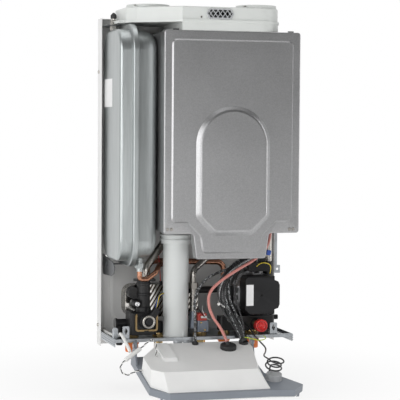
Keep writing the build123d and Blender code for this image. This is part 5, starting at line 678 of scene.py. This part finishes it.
def make_braid_group():
    """Crossing yarns of a braided sleeve: how light each spot is, and its height."""
    group, into, out = new_group("braided_sleeve", {"Rows": 6.0, "Flecks": 0.3},
                                 {"Fleck": "Float", "Height": "Float"})
    place = add_node(group, "SeparateXYZ", {0: coordinate(group, "UV")}).outputs
    around = maths(group, "MULTIPLY", place[0], BRAID_YARNS)
    along = maths(group, "MULTIPLY", place[1], into["Rows"])
    first = maths(group, "ADD", around, along)
    second = maths(group, "SUBTRACT", around, along)
    waves = [maths(group, "SINE", maths(group, "MULTIPLY", line, pi)) for line in (first, second)]
    wave = maths(group, "ABSOLUTE", maths(group, "MULTIPLY", *waves))
    cell = add_node(group, "CombineXYZ", {0: maths(group, "FLOOR", first),
                                          1: maths(group, "FLOOR", second)})
    chance = add_node(group, "TexWhiteNoise", {"Vector": cell.outputs[0]}).outputs["Value"]
    light = maths(group, "LESS_THAN", chance, into["Flecks"])
    feed(group, out, {"Fleck": maths(group, "MULTIPLY", light, wave), "Height": wave})
    return group


def braided(name, dark, light, rows, flecks):
    """Adds a material: a woven sleeve of dark yarn with light flecks."""
    paint, tree, shader = new_material(name)
    weave = add_node(tree, "Group", node_tree=braid_group)
    feed(tree, weave, {"Rows": rows, "Flecks": flecks})
    share = maths(tree, "MULTIPLY", weave.outputs["Fleck"], 1.6, True)
    bump = add_node(tree, "Bump", {"Strength": 0.6, "Distance": 0.4 * MM,
                                   "Height": weave.outputs["Height"]})
    feed(tree, shader, {"Base Color": blend_colour(tree, share, (*dark, 1), (*light, 1)),
                        "Normal": bump.outputs[0], "Roughness": 0.5, "Sheen Weight": 0.15})
    FINISHES[name] = paint


braid_group = make_braid_group()
braided("flecked_braid", (0.02, 0.02, 0.021), (0.55, 0.57, 0.58), 2.4, 0.34)
braided("silver_braid", (0.10, 0.10, 0.105), (0.75, 0.76, 0.77), 3.0, 0.62)

IGNITION_ROUTE = (
    (112, -199, 502), (112, -199, 476), (138, -186, 450), (164, -168, 412), (172, -152, 362),
    (171, -150, 300), (172, -150, 246), (157, -164, 210), (121, -180, 186), (83, -189, 169),
    (35, -194, 142), (4, -197, 115), (1, -201, 84), (12, -206, 54), (33, -212, 26),
    (39.79, -225.84, -0.49))
HARNESS_ROUTE = (
    (150, -150, 255), (150, -150, 222), (132, -152, 198), (92, -164, 182), (58, -176, 160),
    (38, -180, 126), (42, -182, 88), (62, -191, 48), (80, -198, 18), (85.56, -202.53, 3.49))
SIDE_CABLE_ROUTE = (
    (124, -112, 164), (100, -112, 164), (60, -142, 160), (20, -168, 152), (-14, -184, 132),
    (-30, -190, 96), (-28, -192, 60), (-29, -196, 24), (-29, -197.16, 1.35))
# each branch's route, diameter, finish and length
HARNESS_BRANCHES = (
    (((128, -154, 200), (88, -167, 180), (50, -180, 156), (28, -185, 122), (32, -188, 86),
      (54, -196, 46), (76, -202, 18), (84, -203, 4)), 4.2, "black_cable", 0.267),
    (((134, -150, 200), (98, -160, 180), (70, -170, 156), (56, -180, 124), (60, -184, 88),
      (78, -190, 50), (88, -197, 20), (88, -202.5, 4)), 5.0, "flecked_braid", 0.243),
    (((138, -150, 200), (106, -158, 178), (84, -166, 152), (72, -174, 120), (76, -178, 88),
      (88, -186, 52), (92, -196, 22), (87, -202.6, 4)), 3.6, "black_cable", 0.231))
THERMOSTAT_ROUTE = (
    (-206, -3, 9), (-207.5, -46, 6.4), (-204.4, -95, 6.4), (-198.6, -139, 6.8),
    (-204, -188, 27), (-189.83, -216.10, -16.62))
SLEEVE_RIGHT = (-166, -215, -10)
SLEEVE_LEFT = (-203, -225, -34)
LEFT_PAIR_ROUTE = (
    SLEEVE_LEFT, (-214.45, -228.10, -41.43), (-219, -240, -56), (-206, -254, -66),
    (-188.9, -263.85, -52.52), (-170.9, -263.85, -52.52))
RIGHT_PAIR_ROUTE = (
    SLEEVE_RIGHT, (-153.73, -211.68, -2.04), (-144, -222, 12), (-140, -248.92, 13.07),
    (-140, -266.24, -1.59), (-140, -260.92, -22.93))
CAPILLARY_LEAD_IN = (
    (112, -134, 30), (112, -150, 30), (115, -169, 21), (121, -188, 6), (132, -200, -8),
    (138, -220, -18), (128, -248, -24), (112, -276, -28))
EARTH_ROUTE = (
    (84, -203, 5), (90, -211, 8), (106, -214, 3), (124, -214, -1), (140, -208, 0),
    (146, -196, 4), (143, -187, 6))
COIL_TURNS = 3
COIL_STEPS = 12
COIL_RADIUS = 18
COIL_PITCH = 9.5
COIL_LEAN = radians(22)
COIL_DRIFT = 3
COIL_FOOT = Vector((123, -320.36, -53.21))
GAUGE_STUB = Vector((113, -319.64, -56.12))
STUB_HEIGHT = 14

HARNESS_TWIST = 0.34
HARNESS_PAINTS = ("black_cable", "flecked_braid", "silver_braid")
# each ring of wires: its distance from the middle, the radius of a plain and of a braided wire,
# and which of those paints each wire has
HARNESS_RINGS = (
    (5.4, 1.65, 2.0, (0, 1, 0, 0, 2, 0, 0, 1, 0)),
    (2.2, 1.6, 1.6, (0, 2, 0, 1)))
PAIR_WIRE_RADIUS = 0.98
PAIR_TWIST = 0.015
SLEEVE_RADIUS = 5
SLEEVE_EDGE = 0.8


def capillary_route():
    """The gauge's tube: from the manifold over the hinge, three loose turns, down its stub."""
    axis = Vector((0, -sin(COIL_LEAN), cos(COIL_LEAN)))
    back = Vector((0, cos(COIL_LEAN), sin(COIL_LEAN)))
    turns = []
    for step in range(COIL_TURNS * COIL_STEPS - 2):
        angle = pi + 2 * pi * step / COIL_STEPS
        rise = COIL_PITCH * (COIL_TURNS - step / COIL_STEPS)
        across = COIL_RADIUS * cos(angle) + COIL_DRIFT * sin(angle / 3)
        turns.append(COIL_FOOT + axis * rise + Vector((across, 0, 0))
                     + back * COIL_RADIUS * sin(angle))
    return [*CAPILLARY_LEAD_IN, *turns, GAUGE_STUB + PANEL_UP * STUB_HEIGHT, GAUGE_STUB]


def round_strand(name, route, diameter, paint, sides):
    """A round cord along its smooth path; returns it and the path."""
    path = cord_path(route)
    shape = bmesh.new()
    add_strand(shape, path, diameter / 2 * MM, sides)
    cord = finish_strands(name, shape, [paint])
    return cord, path


def make_round_cord(name, route, diameter, paint, sides):
    """A round cord of that thickness."""
    cord, path = round_strand(name, route, diameter, paint, sides)
    return cord


def cross_hinge(piece):
    """Bakes a piece's placement into its mesh."""
    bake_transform(piece)


def make_ignition_lead():
    """The thick pink lead, from behind the chamber's tab down to the panel."""
    lead = make_round_cord("ignition_lead_cord", IGNITION_ROUTE, diameter=7,
                           paint="pink_silicone", sides=18)
    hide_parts("ignition_lead")
    cross_hinge(lead)


def make_harness():
    """The bundle of black wires, with a few braided ones among them."""
    path = cord_path(HARNESS_ROUTE)
    shape = bmesh.new()
    for orbit, plain, braid, slots in HARNESS_RINGS:
        for k, slot in enumerate(slots):
            add_strand(shape, path, (braid if slot else plain) * MM, 9, orbit=orbit * MM,
                       begin=2 * pi * k / len(slots), pitch=HARNESS_TWIST, swell=0.6,
                       swell_from=0.25, slot=slot)
    bundle = finish_strands("harness_bundle", shape, HARNESS_PAINTS)
    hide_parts("wire_harness")
    cross_hinge(bundle)


def make_branches():
    """The looser cables beside the bundle, and the one at the side of the pump."""
    for number, (route, diameter, paint, length) in enumerate(HARNESS_BRANCHES):
        branch = make_round_cord(f"harness_branch_{number}", route, diameter, paint, sides=12)
        cross_hinge(branch)
    cable = make_round_cord("side_cable", SIDE_CABLE_ROUTE, diameter=6.5,
                            paint="flecked_braid", sides=16)
    cross_hinge(cable)


def make_pair(name, route):
    """A black and a white wire twisted together."""
    path = cord_path(route)
    shape = bmesh.new()
    for slot in (0, 1):
        add_strand(shape, path, PAIR_WIRE_RADIUS * MM, 10, orbit=PAIR_WIRE_RADIUS * MM,
                   begin=pi * slot, pitch=PAIR_TWIST, slot=slot)
    pair = finish_strands(name, shape, ["black_cable", "white_cable"])
    cross_hinge(pair)


def make_sleeve():
    """The white heat-shrunk sleeve over the joint, with a stepped rim at either end."""
    right, left = Vector(SLEEVE_RIGHT) * MM, Vector(SLEEVE_LEFT) * MM
    way = left - right
    sleeve = start("cylinder", vertices=28, radius=SLEEVE_RADIUS * MM, depth=way.length,
                   location=(left + right) / 2, rotation=way.to_track_quat("Z", "Y").to_euler())
    select_faces(sleeve, lambda face: len(face.verts) > 4)
    for rim, step in ((1.6, 1.5), (1.0, -0.6)):
        bpy.ops.mesh.inset(thickness=rim * MM, depth=step * MM)
    bpy.ops.object.mode_set(mode="OBJECT")
    soften(sleeve, SLEEVE_EDGE, segments=3, sharp=radians(30), smooth=radians(35))
    sleeve.name = "lead_sleeve"
    sleeve.data.materials.append(FINISHES["white_cable"])
    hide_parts("lead_connector")
    cross_hinge(sleeve)
    return sleeve


def make_thermostat_lead():
    """The white lead with its sleeve, and the two twisted pairs that leave the sleeve."""
    lead, path = round_strand("thermostat_cord", THERMOSTAT_ROUTE, diameter=8,
                              paint="white_cable", sides=18)
    make_sleeve()
    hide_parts("thermostat_lead")
    cross_hinge(lead)
    make_pair("left_pair", LEFT_PAIR_ROUTE)
    make_pair("right_pair", RIGHT_PAIR_ROUTE)


def make_capillary():
    """The gauge's thin tube, wound in loose turns over the hanging panel."""
    tube = make_round_cord("capillary_tube", capillary_route(), diameter=3.6,
                           paint="black_cable", sides=12)
    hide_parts("gauge_capillary")
    cross_hinge(tube)


def make_wire(name, route, diameter, paint):
    """A single free wire that stays on the boiler, from what feeds it to what it goes into."""
    wire = make_round_cord(name, route, diameter, paint, sides=10)
    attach(wire, "boiler")


# ---------------------------------------------------------------- small fittings

PAPER = 0.2
PAPER_GAP = 0.25
TIE_MIDDLE = Vector((45, -182.2, 84)) * MM
TIE_LEAN = radians(14)
TAB_X = -56.5
TAB_FRONT = -182.8
TAB_Z = -6.5
TAB_HALF_WIDTH = 17
TAB_HALF_HEIGHT = 8
TAB_HOLE_RADIUS = 3.2
TAB_CORNER = 0.72
TRAY_SHEET = 1.5


def make_label(name, node, axis, middle, size, cuts):
    """A blank paper label that lies on a node's surface and faces against an axis."""
    piece = start("grid", x_subdivisions=cuts[0], y_subdivisions=cuts[1], size=1,
                  rotation=(pi / 2, 0, 0) if axis == INWARD else (0, pi / 2, 0),
                  location=Vector(middle) * MM, scale=(size[0] * MM, size[1] * MM, 1))
    for vertex in piece.data.vertices:
        vertex.co[axis] = surface_at(node, vertex.co, axis) - PAPER_GAP * MM
    thicken(piece, PAPER)
    settle(piece, name, "label_paper")


def make_siphon_collar():
    """The siphon's threaded collar, wider than its tube."""
    turned("siphon_collar", (-62, -143, 226), UP,
           ((30.2, 0), (34, 0), (36, 3), (36, 5), (38, 6.5), (38, 10.5), (35.5, 12), (35.5, 17),
            (37.8, 18.5), (37.8, 21), (35.6, 22.5), (30.2, 22.5), (30.2, 0)),
           "siphon_plastic", sides=64, edge=0.4)


def make_actuator_ring():
    """The bright retaining ring round the actuator's hub."""
    x, z = -136.3, 45.9
    turned("actuator_ring", (x, front_of("valve_actuator", x, z) + 0.3, z), FORWARD,
           ((10.5, -1), (15.5, -1), (15.5, 1.6), (14.2, 2.4), (12.0, 2.4), (11.2, 1.2),
            (10.5, 1.2), (10.5, -1)), "pipe_steel", sides=48, edge=0.25)


def make_bleed_screw():
    """A chromed screw in its black boss at the side of the diverter valve."""
    x, z = -158.3, 86
    turned("bleed_boss", (x, -118, z), FORWARD,
           ((0, 0), (8.5, 0), (8.5, 34), (7.6, 36), (0, 36)), "black_moulding", edge=0.4)
    turned("bleed_screw", (x, -153, z), FORWARD,
           ((0, 0), (6, 0), (6, 4.5), (5, 6), (2.6, 6), (2.2, 4.4), (0, 4.4)),
           "chrome_plate", edge=0.25)


def make_cable_tie():
    """A white tie round the harness, its head on the left."""
    tie = start("torus", major_radius=11.5 * MM, minor_radius=1.0 * MM, major_segments=40,
                minor_segments=8, location=TIE_MIDDLE, rotation=(TIE_LEAN, TIE_LEAN, 0))
    select_faces(tie, lambda face: True)
    bpy.ops.transform.resize(value=(1.15, 0.8, 2.2), center_override=TIE_MIDDLE)
    settle(tie, "cable_tie", "white_cable")
    moulded_block("cable_tie_head", (30.5, -188.5, 85), (7, 5, 6), "white_cable",
                  lean=radians(-20))


def make_catch_tab():
    """The tab under the tray's front edge, with the hole that the casing's screw goes into."""
    piece = start("circle", vertices=24, radius=TAB_HOLE_RADIUS * MM, fill_type="NOTHING",
                  location=(TAB_X * MM, TAB_FRONT * MM, TAB_Z * MM), rotation=(pi / 2, 0, 0))
    bpy.ops.object.mode_set(mode="EDIT")
    bpy.ops.mesh.select_all(action="SELECT")
    bpy.ops.mesh.extrude_edges_move()
    shape = bmesh.from_edit_mesh(piece.data)
    for vertex in (v for v in shape.verts if v.select):
        # the hole's round edge, pushed out to the tab's outline
        across = (vertex.co.x / MM - TAB_X) / TAB_HOLE_RADIUS
        up = (vertex.co.z / MM - TAB_Z) / TAB_HOLE_RADIUS
        stretch = 1 / max(abs(across), abs(up))
        trim = TAB_CORNER if up < -0.3 and abs(across) > 0.5 else 1.0
        vertex.co.x = (TAB_X + across * stretch * TAB_HALF_WIDTH * trim) * MM
        vertex.co.z = (TAB_Z + up * stretch * TAB_HALF_HEIGHT) * MM
    bmesh.update_edit_mesh(piece.data)
    bpy.ops.object.mode_set(mode="OBJECT")
    thicken(piece, TRAY_SHEET)
    bpy.ops.object.mode_set(mode="EDIT")
    bpy.ops.mesh.select_all(action="SELECT")
    bpy.ops.mesh.normals_make_consistent(inside=False)
    settle(piece, "catch_tab", "zinc_sheet", edge=0.3)


def make_spring_clips():
    """Black clips over the top edge of the chamber's front."""
    for name, x in (("spring_clip_left", -83), ("spring_clip_right", 197)):
        moulded_block(name, (x, -206.5, 723.4), (13, 7, 5), "black_moulding", rim=1.2)


def make_connectors():
    """Small plugs and sockets, each with its wire."""
    moulded_block("motor_connector", (161, -166, 202), (10, 8, 12), "blue_plug",
                  lean=radians(12))
    plug = moulded_block("coil_plug", (8, front_of("gas_valve_coil", 8, 49) - 2.2, 49),
                         (15, 5, 5), "white_cable")
    make_wire("coil_wire",
              ((-28, -186, 84), (-20, -186, 80), (-13, -180, 68), (-2, -168, 58),
               (6, -154, 51), (8, -144, 49)),
              diameter=2.2, paint="black_cable")
    socket = moulded_block("sensor_socket", (-86.5, -96, 128), (7, 7, 9), "black_moulding")
    make_wire("sensor_wire",
              ((-91.7, -95, 197), (-90.4, -97, 178), (-88.3, -97, 154), (-86.9, -96, 132.3)),
              diameter=2.0, paint="red_moulding")


def make_free_wires():
    """Thin coloured wires among the hydraulics, and the earth wire that goes to the tray."""
    for name, shift, paint in (("actuator_wire_blue", 0, "blue_plug"),
                               ("actuator_wire_yellow", 2.0, "yellow_wire")):
        make_wire(name,
                  ((-117 + shift, -166, 77), (-115.1 + shift, -170, 86),
                   (-113 + shift, -168, 97), (-106, -160 - shift, 105 + shift),
                   (-92, -146 - shift, 107 + shift)),
                  diameter=1.7, paint=paint)
    make_wire("pump_wire",
              ((136, -152, 168), (142, -160, 177), (156, -160, 177), (167, -158, 173),
               (172, -154, 164), (172, -146, 150)),
              diameter=2.2, paint="yellow_wire")
    make_wire("signal_wire",
              ((4, -146, 76), (-2, -160, 74), (-3, -172, 63), (8, -174, 48), (20, -166, 44),
               (27, -150, 47)),
              diameter=1.5, paint="white_cable")
    earth = make_round_cord("earth_wire", EARTH_ROUTE, diameter=2.2, paint="earth_wire",
                            sides=10)
    cross_hinge(earth)


def make_gas_screws():
    """Two small brass adjusting screws on the front of the gas valve."""
    for name, x, z in (("gas_screw_upper", 2.9, 34.5), ("gas_screw_lower", 12, 17.5)):
        turned(name, (x, front_of("gas_valve", x, z) + 0.2, z), FORWARD,
               ((0, 0), (2.6, 0), (2.6, 1.4), (2.0, 2.0), (0.9, 2.0), (0.7, 1.2), (0, 1.2)),
               "turned_brass", sides=24)


def make_knob_hub():
    """The raised hub and ring on the front of the relief valve's red knob."""
    x, z = 144.5, 27
    turned("knob_hub", (x, front_of("relief_knob", x, z) + 0.2, z), FORWARD,
           ((0, 0), (9.4, 0), (9.4, 0.9), (8.6, 1.5), (7.6, 0.9), (6.8, 0.4), (6.0, 0.4),
            (5.4, 1.8), (4.6, 2.4), (3.4, 2.4), (2.8, 1.0), (0, 1.0)),
           "red_moulding", edge=0.2, body="relief_cap")


make_ignition_lead()
make_harness()
make_branches()
make_thermostat_lead()
make_capillary()
make_siphon_collar()
make_actuator_ring()
make_bleed_screw()
make_cable_tie()
make_catch_tab()
make_spring_clips()
make_connectors()
make_free_wires()
make_gas_screws()
make_label("pump_label", "pump_control_box", INWARD, middle=(114, 0, 101), size=(18, 50),
           cuts=(6, 12))
make_label("vessel_label", "vessel_left_half", ACROSS, middle=(0, -72, 579), size=(66, 84),
           cuts=(8, 6))
make_knob_hub()
